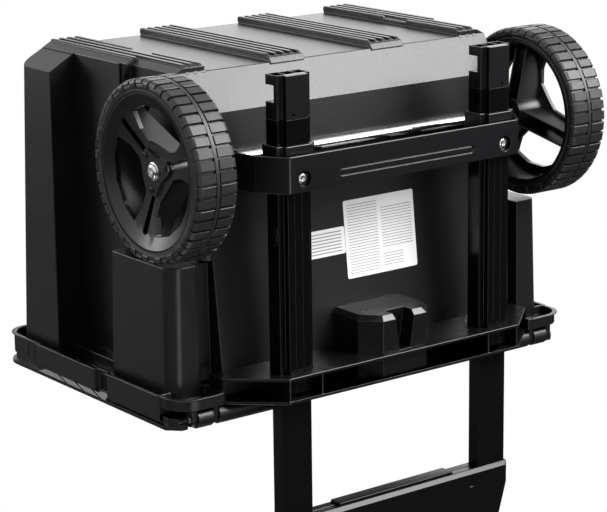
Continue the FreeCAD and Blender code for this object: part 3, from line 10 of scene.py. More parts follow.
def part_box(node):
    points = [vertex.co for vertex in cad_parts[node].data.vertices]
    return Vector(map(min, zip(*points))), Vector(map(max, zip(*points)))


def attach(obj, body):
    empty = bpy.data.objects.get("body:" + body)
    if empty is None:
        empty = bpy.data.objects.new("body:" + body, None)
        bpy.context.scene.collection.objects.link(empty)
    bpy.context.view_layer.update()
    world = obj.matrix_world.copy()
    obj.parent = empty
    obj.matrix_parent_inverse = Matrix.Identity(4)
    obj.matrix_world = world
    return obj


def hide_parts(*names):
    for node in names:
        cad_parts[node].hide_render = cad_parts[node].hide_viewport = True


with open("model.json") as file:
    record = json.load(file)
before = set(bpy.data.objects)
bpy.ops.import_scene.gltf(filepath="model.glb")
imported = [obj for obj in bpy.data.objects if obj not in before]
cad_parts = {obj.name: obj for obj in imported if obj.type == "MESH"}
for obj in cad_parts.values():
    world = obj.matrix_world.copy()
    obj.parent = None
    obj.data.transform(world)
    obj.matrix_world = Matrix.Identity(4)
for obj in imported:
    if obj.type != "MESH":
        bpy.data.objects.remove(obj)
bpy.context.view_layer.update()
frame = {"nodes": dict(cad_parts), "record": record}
NODES = frame["nodes"]
RECORD = frame["record"]
BODY_OF = {node: body for body, nodes in RECORD["behaviour"]["bodies"].items() for node in nodes}
SLOT_OF = {part["node"]: part["material_slot"] for part in RECORD["subparts"]}

MM = 0.001
SIDES = {"left": -1, "right": 1}

# ---------------------------------------------------------------- view, angles in degrees
VIEW_AZIMUTH = 217.18         # from behind and the left side
VIEW_ELEVATION = -14.08       # from below, because the box is shown upside down
VIEW_ROLL = 179.27
VIEW_TARGET = Vector((-45.3, 76.1, 200.2)) * MM
VIEW_DISTANCE = 2298.65 * MM
IMAGE_WIDTH = 607
IMAGE_HEIGHT = 512
FOCAL_PIXELS = 2244.94
OPTICAL_CENTRE = (304.68, 243.96)
FAR_CLIP = 20.0               # metres

# ---------------------------------------------------------------- tyres, in millimetres
AXLE = (110.0, 90.0)          # Y and Z of the axle
TYRE_MIDDLE_X = 237.0
TYRE_SEAT = 77.2              # radius of the seat on the rim
TYRE_RADIUS = 89.8
TYRE_STEPS = 144              # facets round a tyre
TREAD_FLOOR = 86.9            # radius between the raised blocks
BAND_RADIUS = 89.3            # plain band round the middle of the tread
BAND_HALF = 1.7
BAND_FOOT_HALF = 2.3          # the band widens towards the floor
GROOVE_HALF = 2.7             # outer edge of the groove on each side of the band
TREAD_BLOCKS = 48             # in each of the two rows
BLOCK_LENGTH = 8.8            # of the 11.8 mm from one block to the next
BLOCK_SIDE = 22.9             # a block's flank, from the tyre's middle
BLOCK_EDGE = 0.45             # chamfer on a block's edges
LONG_FOOT = 80.6              # radius where every other block ends on the side wall
SHORT_FOOT = 84.4             # and the blocks between them
FOOT_CUT = 1.4                # chamfer between a block's flank and its foot
FIRST_BLOCK = {"left": 3.0, "right": 5.0}   # degrees round the axle

# Profiles as distance from the tyre's middle and radius.
BLOCK_TOP = [(GROOVE_HALF, 85.8), (GROOVE_HALF, TYRE_RADIUS), (18.6, TYRE_RADIUS), (21.6, 88.4),
             (BLOCK_SIDE, 85.6)]
CARCASS = [(21.6, TYRE_SEAT), (21.9, 78.6), (21.2, 79.4), (21.6, 80.4), (21.7, 84.0), (20.9, 85.6),
           (19.4, 86.6), (17.6, TREAD_FLOOR), (BAND_FOOT_HALF, TREAD_FLOOR), (BAND_HALF, BAND_RADIUS)]

# ---------------------------------------------------------------- screws, in millimetres
RAIL_X = 128.6
BRACKET_SCREW_SEAT = 181.5    # Y of the pocket's floor
BRACKET_SCREW_Z = 101.5
HUB_PLATE_X = 249.0           # outer face of the hub plates
BOLT_SEAT_X = 249.3           # the bolt's washer stays clear of the turning plate
HUB_SCREW_CIRCLE = 19.5
GRIP_SCREW_PAIRS = (100.0, 35.0)   # X of the outer and of the inner pair
GRIP_SCREW_SEAT = 153.0       # Y
GRIP_SCREW_Z = 504.0

# Radius and length of the shank, radius and height of the head, radius of the socket, and where there
# is one, radius and height of the flange.
BRACKET_SCREW = ((2.5, BRACKET_SCREW_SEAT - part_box("bracket_screws")[0][1] / MM), (5.5, 3.5), 2.3)
AXLE_BOLT = ((4.0, 6.3), (7.4, 4.0), 3.4, (9.0, 1.0))
HUB_SCREW = ((1.5, 3.0), (3.0, 1.6), 1.3)
GRIP_SCREW = ((1.75, 16.5), (4.0, 3.0), 1.8)

SCREW_STEPS = 36              # facets round a screw
DOME = ((1.0, 0.42), (0.95, 0.66), (0.84, 0.85), (0.68, 0.97))   # shares of a head's radius and height
BROKEN_EDGE = 0.96            # radius at the broken edge of a head or flange, as a share of the whole
HEAD_EDGE = 0.1               # height of that edge, as a share of the head's
FLANGE_EDGE = 0.7             # height where the flange's edge starts, as a share of the flange's
SOCKET_LOBES = 6
LOBE_DEPTH = 0.14             # share of the socket's radius
SOCKET_RIM = 1.16             # opening and floor of the socket, as shares of its radius
SOCKET_END = 0.9
SOCKET_FLOOR = 0.42           # height of the floor, as a share of the head's
SOCKET_SINK = 0.12            # from the opening down to where the lobes start

# ---------------------------------------------------------------- labels, in millimetres
WALL_TOP = (126.4, 310.0)     # Y and Z of the tub's slanted rear wall
WALL_FOOT = (94.0, 7.5)
LABELS = {                    # X and Z, from and to
    "large_label": ((-22.0, 70.0), (153.0, 233.0)),
    "small_label": ((-73.0, -22.5), (178.0, 205.6)),
}
LABEL_CORNER = 2.0
CORNER_STEPS = 4
FILM_BACK = 0.02              # from the wall
FILM_FRONT = 0.2
INK_FRONT = 0.3
RULED_BLOCKS = (              # X from and to, lowest Z, pitch, height of a line, number of lines
    ((-18.0, 21.0), 158.0, 2.9, 0.75, 25),
    ((26.0, 66.0), 166.0, 2.9, 0.75, 15),
    ((26.0, 52.0), 214.0, 2.9, 0.75, 5),
    ((-69.0, -27.0), 181.5, 3.3, 1.3, 7),
)

# ---------------------------------------------------------------- light
FLOOR_SIZE = 12.0             # metres
STUDIO_LEVEL = 0.09           # what mirrored rays see above the horizon, where white is 1
DIFFUSE_SHARE = 0.6           # of the way from that level to white, for the light on dull surfaces
HORIZON = (0.12, -0.16)       # height of a mirrored ray's direction, from the dim studio to white

# Soft boxes: place and target in metres, side in metres, power in watts.
LAMPS = {
    # from below behind on the right, the main light on the rear, the bottom and the wheels
    "key_below": ((0.72, 0.82, -0.72), (0.0, 0.08, 0.1), 0.9, 38),
    # from below in front, a grazing shine on the bottom
    "skin_glow": ((1.1, -1.25, -0.45), (0.0, -0.1, 0.0), 1.0, 5),
    # from the front left and just below the floor, on the lid's edge
    "lid_glow": ((-0.75, -0.82, -0.19), (-0.25, -0.05, 0.33), 0.4, 2.9),
    # from behind and above, fine lights on the rear edges
    "edge_light": ((-0.1, 1.85, 0.66), (0.0, 0.0, 0.2), 0.4, 4),
    # a faint lift on the left side
    "side_glow": ((-1.3, -1.6, 0.75), (0.0, 0.0, 0.3), 0.8, 0.4),
    # from above, for the floor and for views that look down on the box
    "overhead": ((0.0, -0.2, 3.2), (0.0, 0.0, 0.0), 2.4, 24),
    "top_left": ((-1.5, 0.4, 1.9), (0.0, 0.0, 0.3), 1.0, 8),
    "top_front": ((0.5, -1.6, 1.7), (0.0, 0.05, 0.3), 1.0, 14),
}

# ---------------------------------------------------------------- rounded edges, in millimetres
EDGE_MM = {
    "body_tub": 1.1, "lid": 0.9, "rear_guide_beam": 0.8, "rear_catch_block": 0.4,
    "lower_guide_bracket": 1.0, "guide_rail": 0.7, "rail_foot": 0.8, "wheel_rim": 1.2,
    "handle_tube": 0.9, "grip_front_half": 1.2, "grip_rear_half": 1.2, "release_bar": 1.0,
    "hub_plate": 0.7, "front_latch": 1.0,
}
PLAIN_EDGE_MM = 0.4
CAD_POINT_MM = 0.004          # corners of CAD facets that are nearer than this are one corner
OWN_POINT_MM = 0.001
FLAT_TURN = math.radians(0.4)     # facets that turn less than this are one flat face
SHARP_TURN = math.radians(24)     # edges that turn less belong to a curved face
SHADE_TURN = math.radians(40)     # smooth shading stops at edges that turn more
FACE_SHARE = 0.42                 # an edge takes at most this share of the faces beside it
RUN_ON = 0.8                      # cosine of the turn between two edges of one run
EDGE_PLACES = (0.25, 0.5, 0.75)   # shares of an edge's length where its faces are measured
LEAST_REACH_MM = 0.01             # a nearer crossing is at the edge itself


# ================================================================ camera

def make_camera():
    """Camera with its turn about the line of sight and the small shift of its optical centre."""
    azimuth, elevation, roll = map(math.radians, (VIEW_AZIMUTH, VIEW_ELEVATION, VIEW_ROLL))
    back = Vector((math.sin(azimuth) * math.cos(elevation), -math.cos(azimuth) * math.cos(elevation),
                   math.sin(elevation)))
    right = (-back).cross(Vector((0, 0, 1))).normalized()
    up = right.cross(-back)
    turned_right = right * math.cos(roll) + up * math.sin(roll)
    turned_up = up * math.cos(roll) - right * math.sin(roll)
    data = bpy.data.cameras.new("camera")
    data.lens = FOCAL_PIXELS / IMAGE_WIDTH * data.sensor_width
    data.shift_x = (IMAGE_WIDTH / 2 - OPTICAL_CENTRE[0]) / IMAGE_WIDTH
    data.shift_y = (OPTICAL_CENTRE[1] - IMAGE_HEIGHT / 2) / IMAGE_WIDTH
    data.clip_end = FAR_CLIP
    camera = in_scene("camera", data)
    place = Matrix.Translation(VIEW_TARGET + back * VIEW_DISTANCE)
    turn = Matrix((turned_right, turned_up, back)).transposed().to_4x4()
    camera.matrix_world = place @ turn
    bpy.context.scene.camera = camera


# ================================================================ materials

CLOUD_MM = 111.1              # slow changes of a moulding's tone and gloss
LINE_LENGTH_MM = 333.3        # length over which a line from the die changes
LINE_GLOSS = (0.8, 1.25)      # shares of the roughness, from line to line
HANDLING_MARK_MM = 2.5
MARK_GLOSS = (0.7, 1.5)       # shares of the roughness, from mark to mark
RIPPLE_MM = 16.67             # ripple of a stuck label
RIPPLE_DEPTH_MM = 0.2


def linear(code):
    """sRGB hex code as a linear RGBA colour."""
    values = [int(code[i:i + 2], 16) / 255 for i in (1, 3, 5)]
    return [v / 12.92 if v <= 0.04045 else ((v + 0.055) / 1.055) ** 2.4 for v in values] + [1.0]


def add(tree, kind, settings=None, links=None):
    """One shader or geometry node with its settings; links maps an input to the output that feeds it."""
    node = tree.nodes.new(kind)
    for name, value in (settings or {}).items():
        if isinstance(name, int) or name in node.inputs:
            node.inputs[name].default_value = value
        else:
            setattr(node, name, value)
    for name, output in (links or {}).items():
        tree.links.new(output, node.inputs[name])
    return node


def empty_material(name):
    """A new material with a cleared node tree."""
    material = bpy.data.materials.new(name)
    material.use_nodes = True
    material.node_tree.nodes.clear()
    return material, material.node_tree


def moulded(name, colour, roughness, spread, grain_mm, grain_depth_mm, tone=0.14, shine=0.5):
    """Injection moulded surface: a grain from the mould, and a slow change of tone and gloss over it."""
    material, tree = empty_material(name)
    where = add(tree, "ShaderNodeTexCoord").outputs["Object"]
    grain = add(tree, "ShaderNodeTexNoise", {"Scale": 1 / (grain_mm * MM), "Detail": 1.5},
                {"Vector": where})
    cloud = add(tree, "ShaderNodeTexNoise",
                {"Scale": 1 / (CLOUD_MM * MM), "Detail": 5.0, "Roughness": 0.6}, {"Vector": where})
    ramp = add(tree, "ShaderNodeValToRGB", None, {"Fac": cloud.outputs["Fac"]})
    ramp.color_ramp.elements[0].color = [c * (1 - tone) for c in linear(colour)[:3]] + [1]
    ramp.color_ramp.elements[1].color = [c * (1 + tone) for c in linear(colour)[:3]] + [1]
    gloss = add(tree, "ShaderNodeMapRange", {"To Min": roughness - spread, "To Max": roughness + spread},
                {"Value": cloud.outputs["Fac"]})
    bump = add(tree, "ShaderNodeBump", {"Strength": 1.0, "Distance": grain_depth_mm * MM},
               {"Height": grain.outputs["Fac"]})
    shader = add(tree, "ShaderNodeBsdfPrincipled", {"IOR": 1.49, "Specular IOR Level": shine},
                 {"Base Color": ramp.outputs["Color"], "Roughness": gloss.outputs["Result"],
                  "Normal": bump.outputs["Normal"]})
    add(tree, "ShaderNodeOutputMaterial", None, {"Surface": shader.outputs["BSDF"]})
    return material


def drawn(name, colour, roughness, metallic, line_mm, line_depth_mm, shine):
    """Upright extruded profile: fine lines run along it from the die."""
    material, tree = empty_material(name)
    where = add(tree, "ShaderNodeTexCoord").outputs["Object"]
    across = 1 / (line_mm * MM)
    along = 1 / (LINE_LENGTH_MM * MM)
    squeezed = add(tree, "ShaderNodeMapping", {"Scale": (across, across, along)}, {"Vector": where})
    lines = add(tree, "ShaderNodeTexNoise", {"Scale": 1.0, "Detail": 2.0}, {"Vector": squeezed.outputs[0]})
    gloss = add(tree, "ShaderNodeMapRange",
                {"To Min": roughness * LINE_GLOSS[0], "To Max": roughness * LINE_GLOSS[1]},
                {"Value": lines.outputs["Fac"]})
    bump = add(tree, "ShaderNodeBump", {"Strength": 0.6, "Distance": line_depth_mm * MM},
               {"Height": lines.outputs["Fac"]})
    shader = add(tree, "ShaderNodeBsdfPrincipled",
                 {"Base Color": linear(colour), "Metallic": metallic, "Specular IOR Level": shine},
                 {"Roughness": gloss.outputs["Result"], "Normal": bump.outputs["Normal"]})
    add(tree, "ShaderNodeOutputMaterial", None, {"Surface": shader.outputs["BSDF"]})
    return material


def finished_steel(name, colour, roughness):
    """Plated or blackened steel: smooth metal with faint handling marks."""
    material, tree = empty_material(name)
    where = add(tree, "ShaderNodeTexCoord").outputs["Object"]
    marks = add(tree, "ShaderNodeTexNoise", {"Scale": 1 / (HANDLING_MARK_MM * MM), "Detail": 3.0},
                {"Vector": where})
    gloss = add(tree, "ShaderNodeMapRange",
                {"To Min": roughness * MARK_GLOSS[0], "To Max": roughness * MARK_GLOSS[1]},
                {"Value": marks.outputs["Fac"]})
    shader = add(tree, "ShaderNodeBsdfPrincipled", {"Base Color": linear(colour), "Metallic": 1.0},
                 {"Roughness": gloss.outputs["Result"]})
    add(tree, "ShaderNodeOutputMaterial", None, {"Surface": shader.outputs["BSDF"]})
    return material


def film(name, colour, roughness):
    """Plain coated film or ink: even colour, a soft sheen and the slight ripple of a stuck label."""
    material, tree = empty_material(name)
    where = add(tree, "ShaderNodeTexCoord").outputs["Object"]
    ripple = add(tree, "ShaderNodeTexNoise", {"Scale": 1 / (RIPPLE_MM * MM), "Detail": 2.0},
                 {"Vector": where})
    bump = add(tree, "ShaderNodeBump", {"Strength": 0.2, "Distance": RIPPLE_DEPTH_MM * MM},
               {"Height": ripple.outputs["Fac"]})
    shader = add(tree, "ShaderNodeBsdfPrincipled", {"Base Color": linear(colour), "Roughness": roughness},
                 {"Normal": bump.outputs["Normal"]})
    add(tree, "ShaderNodeOutputMaterial", None, {"Surface": shader.outputs["BSDF"]})
    return material


# Polypropylene from a spark eroded mould: black, with a satin grain that sparkles in a strong light. Such
# a grain is about 0.8 mm, drawn at 1.2 mm so that it shows.
GRAINED = moulded("grained_black_polypropylene", "#0b0c0e", 0.35, 0.03, 1.2, 0.2)
# The same plastic from a polished mould, on guide parts, feet, latches and bushes: smoother, glossier.
SMOOTH = moulded("smooth_black_polypropylene", "#0a0b0d", 0.28, 0.03, 2.5, 0.02)
# Wheels of stiffer nylon, moulded: satin, with slow flow marks.
NYLON = moulded("satin_black_nylon", "#0e0f11", 0.33, 0.05, 2.0, 0.03)
# Grip of moulded plastic that hands have worn smooth: black and glossy.
GRIP = moulded("glossy_black_grip_plastic", "#08080a", 0.26, 0.04, 3.0, 0.015, shine=0.3)
# Tyres of moulded solid rubber: dark grey and dull, uneven in tone, with a coarse skin.
RUBBER = moulded("dull_grey_tyre_rubber", "#191a1b", 0.42, 0.07, 1.3, 0.22, tone=0.3)
# Rails of extruded aluminium with a powder coat: deep black and glossy, with soft lines along them.
COATED = drawn("gloss_black_coated_extrusion", "#060607", 0.17, 0.0, 1.6, 0.012, 0.22)
# Tubes of extruded aluminium, black anodised: the metal's sheen shows through.
ANODISED = drawn("black_anodised_aluminium_tube", "#111214", 0.28, 0.6, 1.0, 0.01, 0.35)
# Axle, pins, bolts and large screws of zinc plated steel: bright, almost a mirror.
ZINC = finished_steel("bright_zinc_plated_steel", "#d9dadb", 0.16)
# Small screws blackened in oil: dark grey with a soft shine.
BLACKENED = finished_steel("oil_blackened_steel", "#3a3b3d", 0.30)
# Coated label film: white, with a soft sheen.
FILM = film("white_label_film", "#f6f6f5", 0.45)
# Ink of the ruled lines on it: flat grey.
INK = film("grey_printing_ink", "#a2a3a5", 0.5)

MATERIALS = {
    "black_plastic": GRAINED, "wheel_plastic": NYLON, "grip_plastic": GRIP, "tyre": RUBBER,
    "steel": ZINC, "dark_steel": BLACKENED, "rail": COATED, "handle_metal": ANODISED,
}
SMOOTH_NODES = ("rear_guide_beam", "rear_catch_block", "lower_guide_bracket", "rail_foot_left",
                "rail_foot_right", "front_latch_left", "front_latch_right", "axle_bush_left",
                "axle_bush_right")


# ================================================================ objects and meshes

def metres(*place):
    """A place in metres from its millimetres."""
    return tuple(Vector(place) * MM)


def in_scene(name, data):
    """New object in the scene."""
    item = bpy.data.objects.new(name, data)
    bpy.context.scene.collection.objects.link(item)
    return item


def object_of(name, form):
    """Object from a finished bmesh."""
    mesh = bpy.data.meshes.new(name)
    form.to_mesh(mesh)
    form.free()
    return in_scene(name, mesh)


def closed_object(name, form):
    """Object from a bmesh, with its doubles merged and its faces turned outwards."""
    bmesh.ops.remove_doubles(form, verts=form.verts, dist=OWN_POINT_MM * MM)
    bmesh.ops.recalc_face_normals(form, faces=form.faces)
    return object_of(name, form)


def skin(form, rings):
    """Faces from each ring of points to the next, with the first and the last ring closed."""
    for low, high in zip(rings, rings[1:]):
        for i in range(len(low)):
            after = (i + 1) % len(low)
            form.faces.new((low[i], low[after], high[after], high[i]))
    form.faces.new(rings[0])
    form.faces.new(rings[-1])


def shade(piece):
    """Smooth shading that stops at sharp and open edges."""
    form = bmesh.new()
    form.from_mesh(piece.data)
    for face in form.faces:
        face.smooth = True
    for edge in form.edges:
        edge.smooth = len(edge.link_faces) == 2 and edge.calc_face_angle() < SHADE_TURN
    form.to_mesh(piece.data)
    form.free()


def dress(piece, material):
    """Give a piece its one material."""
    piece.data.materials.clear()
    piece.data.materials.append(material)


def merged(name, pieces):
    """One object from several that share a body and a material."""
    form = bmesh.new()
    for piece in pieces:
        form.from_mesh(piece.data)
    whole = object_of(name, form)
    dress(whole, pieces[0].data.materials[0])
    for piece in pieces:
        bpy.data.objects.remove(piece)
    return whole


def stand_for(piece, node):
    """A finished piece takes a CAD node's place."""
    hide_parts(node)
    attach(piece, BODY_OF[node])


# ================================================================ rounded copies of the CAD pieces

def joined_facets(node):
    """A CAD piece's loose triangles joined, with its flat faces whole."""
    form = bmesh.new()
    form.from_mesh(NODES[node].data)
    bmesh.ops.remove_doubles(form, verts=form.verts, dist=CAD_POINT_MM * MM)
    bmesh.ops.dissolve_limit(form, angle_limit=FLAT_TURN, verts=form.verts, edges=form.edges)
    form.normal_update()
    return form


def across_face(face, edge):
    """Shortest way straight across a face from one of its edges, in metres."""
    loop = next(loop for loop in face.loops if loop.edge is edge)
    start = loop.vert.co
    end = loop.link_loop_next.vert.co
    along = (end - start).normalized()
    inward = face.normal.cross(along)
    sides = []
    for other in face.loops:
        if other is not loop:
            ends = (other.vert.co - start, other.link_loop_next.vert.co - start)
            sides.append([(way.dot(along), way.dot(inward)) for way in ends])
    least = math.inf
    for share in EDGE_PLACES:
        place = (end - start).length * share
        for (x1, y1), (x2, y2) in sides:
            if (x1 > place) != (x2 > place):
                reach = y1 + (y2 - y1) * (place - x1) / (x2 - x1)
                if reach > LEAST_REACH_MM * MM:
                    least = min(least, reach)
    return least


def run_on(edge, vertex, others):
    """Edges that carry on nearly straight from an edge at one of its ends."""
    way = (vertex.co - edge.other_vert(vertex).co).normalized()
    for other in vertex.link_edges:
        if other is not edge and other in others:
            if way.dot((other.other_vert(vertex).co - vertex.co).normalized()) > RUN_ON:
                yield other


def even_runs(rooms):
    """The least room along each run of edges, so that a run is rounded evenly."""
    even = {}
    for first in rooms:
        if first in even:
            continue
        run = {first}
        waiting = [first]
        while waiting:
            edge = waiting.pop()
            for vertex in edge.verts:
                for other in run_on(edge, vertex, rooms):
                    if other not in run:
                        run.add(other)
                        waiting.append(other)
        least = min(rooms[edge] for edge in run)
        for edge in run:
            even[edge] = least
    return even


def rounded_copy(node):
    """The CAD piece with its sharp edges rounded, as a mould or a deburring tool leaves them."""
    form = joined_facets(node)
    family = node.replace("_left", "").replace("_right", "")
    width = EDGE_MM.get(family, PLAIN_EDGE_MM) * MM
    weights = form.edges.layers.float.new("bevel_weight_edge")
    rooms = {}
    for edge in form.edges:
        edge.smooth = True
        if len(edge.link_faces) == 2 and edge.calc_face_angle() > SHARP_TURN:
            rooms[edge] = min(across_face(face, edge) for face in edge.link_faces) * FACE_SHARE
    for edge, room in even_runs(rooms).items():
        edge[weights] = min(1.0, room / width)
    for face in form.faces:
        face.smooth = True
    piece = object_of(node + "_rounded", form)
    bevel = piece.modifiers.new("rounded_edges", "BEVEL")
    bevel.limit_method = "WEIGHT"
    bevel.width = width
    bevel.segments = 2
    bevel.use_clamp_overlap = False
    bevel.miter_outer = "MITER_SHARP"
    level = piece.modifiers.new("flat_faces_stay_flat", "WEIGHTED_NORMAL")
    level.keep_sharp = True
    level.weight = 100
    dress(piece, SMOOTH if node in SMOOTH_NODES else MATERIALS[SLOT_OF[node]])
    stand_for(piece, node)


# ================================================================ repeated shapes

def new_tree(name, sockets):
    """Geometry tree with named inputs; returns the tree, its input node and its output node."""
    tree = bpy.data.node_groups.new(name, "GeometryNodeTree")
    tree.interface.new_socket("Geometry", in_out="OUTPUT", socket_type="NodeSocketGeometry")
    for label, kind in sockets.items():
        tree.interface.new_socket(label, in_out="INPUT", socket_type="NodeSocket" + kind)
    return tree, add(tree, "NodeGroupInput"), add(tree, "NodeGroupOutput")


def end_tree(tree, given, out, points, turn=None):
    """The given shape on each point, made real and given its material."""
    shape = add(tree, "GeometryNodeObjectInfo", None, {"Object": given.outputs["Shape"]})
    copies = add(tree, "GeometryNodeInstanceOnPoints", None,
                 {"Points": points, "Instance": shape.outputs["Geometry"]})
    if turn is not None:
        tree.links.new(turn, copies.inputs["Rotation"])
    real = add(tree, "GeometryNodeRealizeInstances", None, {"Geometry": copies.outputs[0]})
    dressed = add(tree, "GeometryNodeSetMaterial", None,
                  {"Geometry": real.outputs[0], "Material": given.outputs["Material"]})
    tree.links.new(dressed.outputs[0], out.inputs[0])


def round_axle_tree():
    """Copies of a shape turned evenly about an axle along X."""
    tree, given, out = new_tree("copies_round_axle", {
        "Base": "Geometry", "Copies": "Int", "Axle": "Vector", "First Turn": "Float", "Shape": "Object",
        "Material": "Material"})
    points = add(tree, "GeometryNodePoints", None,
                 {"Count": given.outputs["Copies"], "Position": given.outputs["Axle"]})
    step = add(tree, "ShaderNodeMath", {"operation": "DIVIDE", 0: math.tau}, {1: given.outputs["Copies"]})
    index = add(tree, "GeometryNodeInputIndex")
    angle = add(tree, "ShaderNodeMath", {"operation": "MULTIPLY_ADD"},
                {0: index.outputs[0], 1: step.outputs[0], 2: given.outputs["First Turn"]})
    euler = add(tree, "ShaderNodeCombineXYZ", None, {"X": angle.outputs[0]})
    turn = add(tree, "FunctionNodeEulerToRotation", None, {0: euler.outputs[0]})
    end_tree(tree, given, out, points.outputs[0], turn.outputs[0])
    return tree


def in_row_tree():
    """Copies of a shape in a straight row."""
    tree, given, out = new_tree("copies_in_row", {
        "Base": "Geometry", "Copies": "Int", "Start": "Vector", "Step": "Vector", "Shape": "Object",
        "Material": "Material"})
    row = add(tree, "GeometryNodeMeshLine", {"mode": "OFFSET"},
              {"Count": given.outputs["Copies"], "Start Location": given.outputs["Start"],
               "Offset": given.outputs["Step"]})
    end_tree(tree, given, out, row.outputs[0])
    return tree


ROUND_AXLE = round_axle_tree()
IN_ROW = in_row_tree()


def repeated(tree, name, shape, material, values):
    """Plain mesh object from a repeating tree; the shape itself is removed afterwards."""
    dress(shape, material)
    holder = in_scene(name, bpy.data.meshes.new(name))
    modifier = holder.modifiers.new("copies", "NODES")
    modifier.node_group = tree
    values = dict(values, Shape=shape, Material=material)
    for item in tree.interface.items_tree:
        if item.in_out == "INPUT" and item.name in values:
            modifier[item.identifier] = values[item.name]
    bpy.context.view_layer.update()
    evaluated = holder.evaluated_get(bpy.context.evaluated_depsgraph_get())
    mesh = bpy.data.meshes.new_from_object(evaluated)
    holder.modifiers.remove(modifier)
    holder.data = mesh
    bpy.data.objects.remove(shape)
    return holder


# ================================================================ tyres

def tread_block(side, foot_radius):
    """One raised block: it runs from the middle band over the shoulder and down the side wall."""
    foot = [(BLOCK_SIDE, foot_radius + FOOT_CUT), (21.4, foot_radius), (20.2, foot_radius), (20.0, 83.6),
            (17.0, 85.8)]
    form = bmesh.new()
    ends = []
    for along in (-BLOCK_LENGTH / 2, BLOCK_LENGTH / 2):
        ends.append([form.verts.new(metres(side * x, radius, along)) for x, radius in BLOCK_TOP + foot])
    skin(form, ends)
    bmesh.ops.bevel(form, geom=form.edges[:], offset=BLOCK_EDGE * MM, segments=1, affect="EDGES",
                    clamp_overlap=True)
    return closed_object("block", form)


def tyre(name, side):
    """Solid tyre with a plain band round the middle of its tread and a row of blocks on each side of it."""
    centre = metres(side * TYRE_MIDDLE_X, *AXLE)
    section = CARCASS + [(-x, radius) for x, radius in reversed(CARCASS)]
    form = bmesh.new()
    outline = [form.verts.new(metres(x, radius, 0.0)) for x, radius in section]
    edges = [form.edges.new(pair) for pair in zip(outline, outline[1:] + outline[:1])]
    bmesh.ops.spin(form, geom=outline + edges, cent=(0, 0, 0), axis=(1, 0, 0), angle=math.tau,
                   steps=TYRE_STEPS, use_merge=True)
    for vertex in form.verts:
        vertex.co += Vector(centre)
    carcass = closed_object("carcass", form)
    shade(carcass)
    dress(carcass, RUBBER)
    parts = [carcass]
    half_row = TREAD_BLOCKS // 2
    for row in (-1, 1):
        for shift, foot_radius in ((0.0, LONG_FOOT), (0.5, SHORT_FOOT)):
            turn = math.radians(FIRST_BLOCK[name]) + shift * math.tau / half_row
            parts.append(repeated(ROUND_AXLE, "blocks", tread_block(row, foot_radius), RUBBER, {
                "Copies": half_row, "Axle": centre, "First Turn": turn}))
    stand_for(merged("tyre_" + name + "_tread", parts), "tyre_" + name)


# ================================================================ screws

def ring(form, reach, level, lobe_depth=0.0):
    """Ring of points round the Y axis, which waves in and out where it has lobes."""
    points = []
    for i in range(SCREW_STEPS):
        angle = math.tau * i / SCREW_STEPS
        out = reach * (1 + lobe_depth * math.cos(SOCKET_LOBES * angle))
        points.append(form.verts.new(metres(out * math.cos(angle), level, out * math.sin(angle))))
    return points


def screw(shank, head, socket, flange=None):
    """Screw along +Y with its seat at the origin: shank below it, domed head with a six lobed socket."""
    shank_r, length = shank
    head_r, height = head
    form = bmesh.new()
    rings = [ring(form, shank_r, -length), ring(form, shank_r, 0.0)]
    if flange:
        flange_r, thickness = flange
        rings += [ring(form, flange_r, 0.0), ring(form, flange_r, thickness * FLANGE_EDGE),
                  ring(form, flange_r * BROKEN_EDGE, thickness), ring(form, head_r, thickness)]
    else:
        rings += [ring(form, head_r * BROKEN_EDGE, 0.0), ring(form, head_r, height * HEAD_EDGE)]
    rings += [ring(form, head_r * share, height * level) for share, level in DOME]
    rings += [ring(form, socket * SOCKET_RIM, height),
              ring(form, socket, height - SOCKET_SINK, LOBE_DEPTH),
              ring(form, socket * SOCKET_END, height * SOCKET_FLOOR, LOBE_DEPTH)]
    skin(form, rings)
    piece = closed_object("screw", form)
    shade(piece)
    return piece


def turned(piece, angle):
    """Turn a shape about Z, in its mesh."""
    piece.data.transform(Matrix.Rotation(angle, 4, "Z"))
    return piece


def pointing_out(size, side):
    """Screw whose head points away from the box's left or right side."""
    return turned(screw(*size), -side * math.pi / 2)


def screw_turn(node):
    """Turn about the axle of the first of a CAD node's loose screws, in radians."""
    form = joined_facets(node)
    form.verts.ensure_lookup_table()
    found = {form.verts[0]}
    waiting = [form.verts[0]]
    while waiting:
        vertex = waiting.pop()
        for edge in vertex.link_edges:
            other = edge.other_vert(vertex)
            if other not in found:
                found.add(other)
                waiting.append(other)
    ys = [vertex.co.y for vertex in found]
    zs = [vertex.co.z for vertex in found]
    form.free()
    return math.atan2((min(zs) + max(zs)) / 2 - AXLE[1] * MM, (min(ys) + max(ys)) / 2 - AXLE[0] * MM)


def bracket_screws():
    """Pan head screws through the bracket into the rails."""
    pair = repeated(IN_ROW, "bracket_screw_pair", screw(*BRACKET_SCREW), ZINC, {
        "Copies": 2, "Start": metres(-RAIL_X, BRACKET_SCREW_SEAT, BRACKET_SCREW_Z),
        "Step": metres(2 * RAIL_X, 0.0, 0.0)})
    stand_for(pair, "bracket_screws")


def axle_bolts():
    """Button head bolts with a flange, on the axle's ends."""
    bolts = []
    for side in SIDES.values():
        bolts.append(repeated(IN_ROW, "bolt", pointing_out(AXLE_BOLT, side), ZINC, {
            "Copies": 1, "Start": metres(side * BOLT_SEAT_X, *AXLE), "Step": metres(0.0, 0.0, 0.0)}))
    stand_for(merged("axle_button_bolts", bolts), "axle_bolts")


def hub_screws(name, side):
    """Three small screws in the lobes of a hub plate."""
    node = "hub_screws_" + name
    shape = pointing_out(HUB_SCREW, side)
    shape.data.transform(Matrix.Translation(metres(0.0, HUB_SCREW_CIRCLE, 0.0)))
    heads = repeated(ROUND_AXLE, node + "_heads", shape, BLACKENED, {
        "Copies": 3, "Axle": metres(side * HUB_PLATE_X, *AXLE), "First Turn": screw_turn(node)})
    stand_for(heads, node)


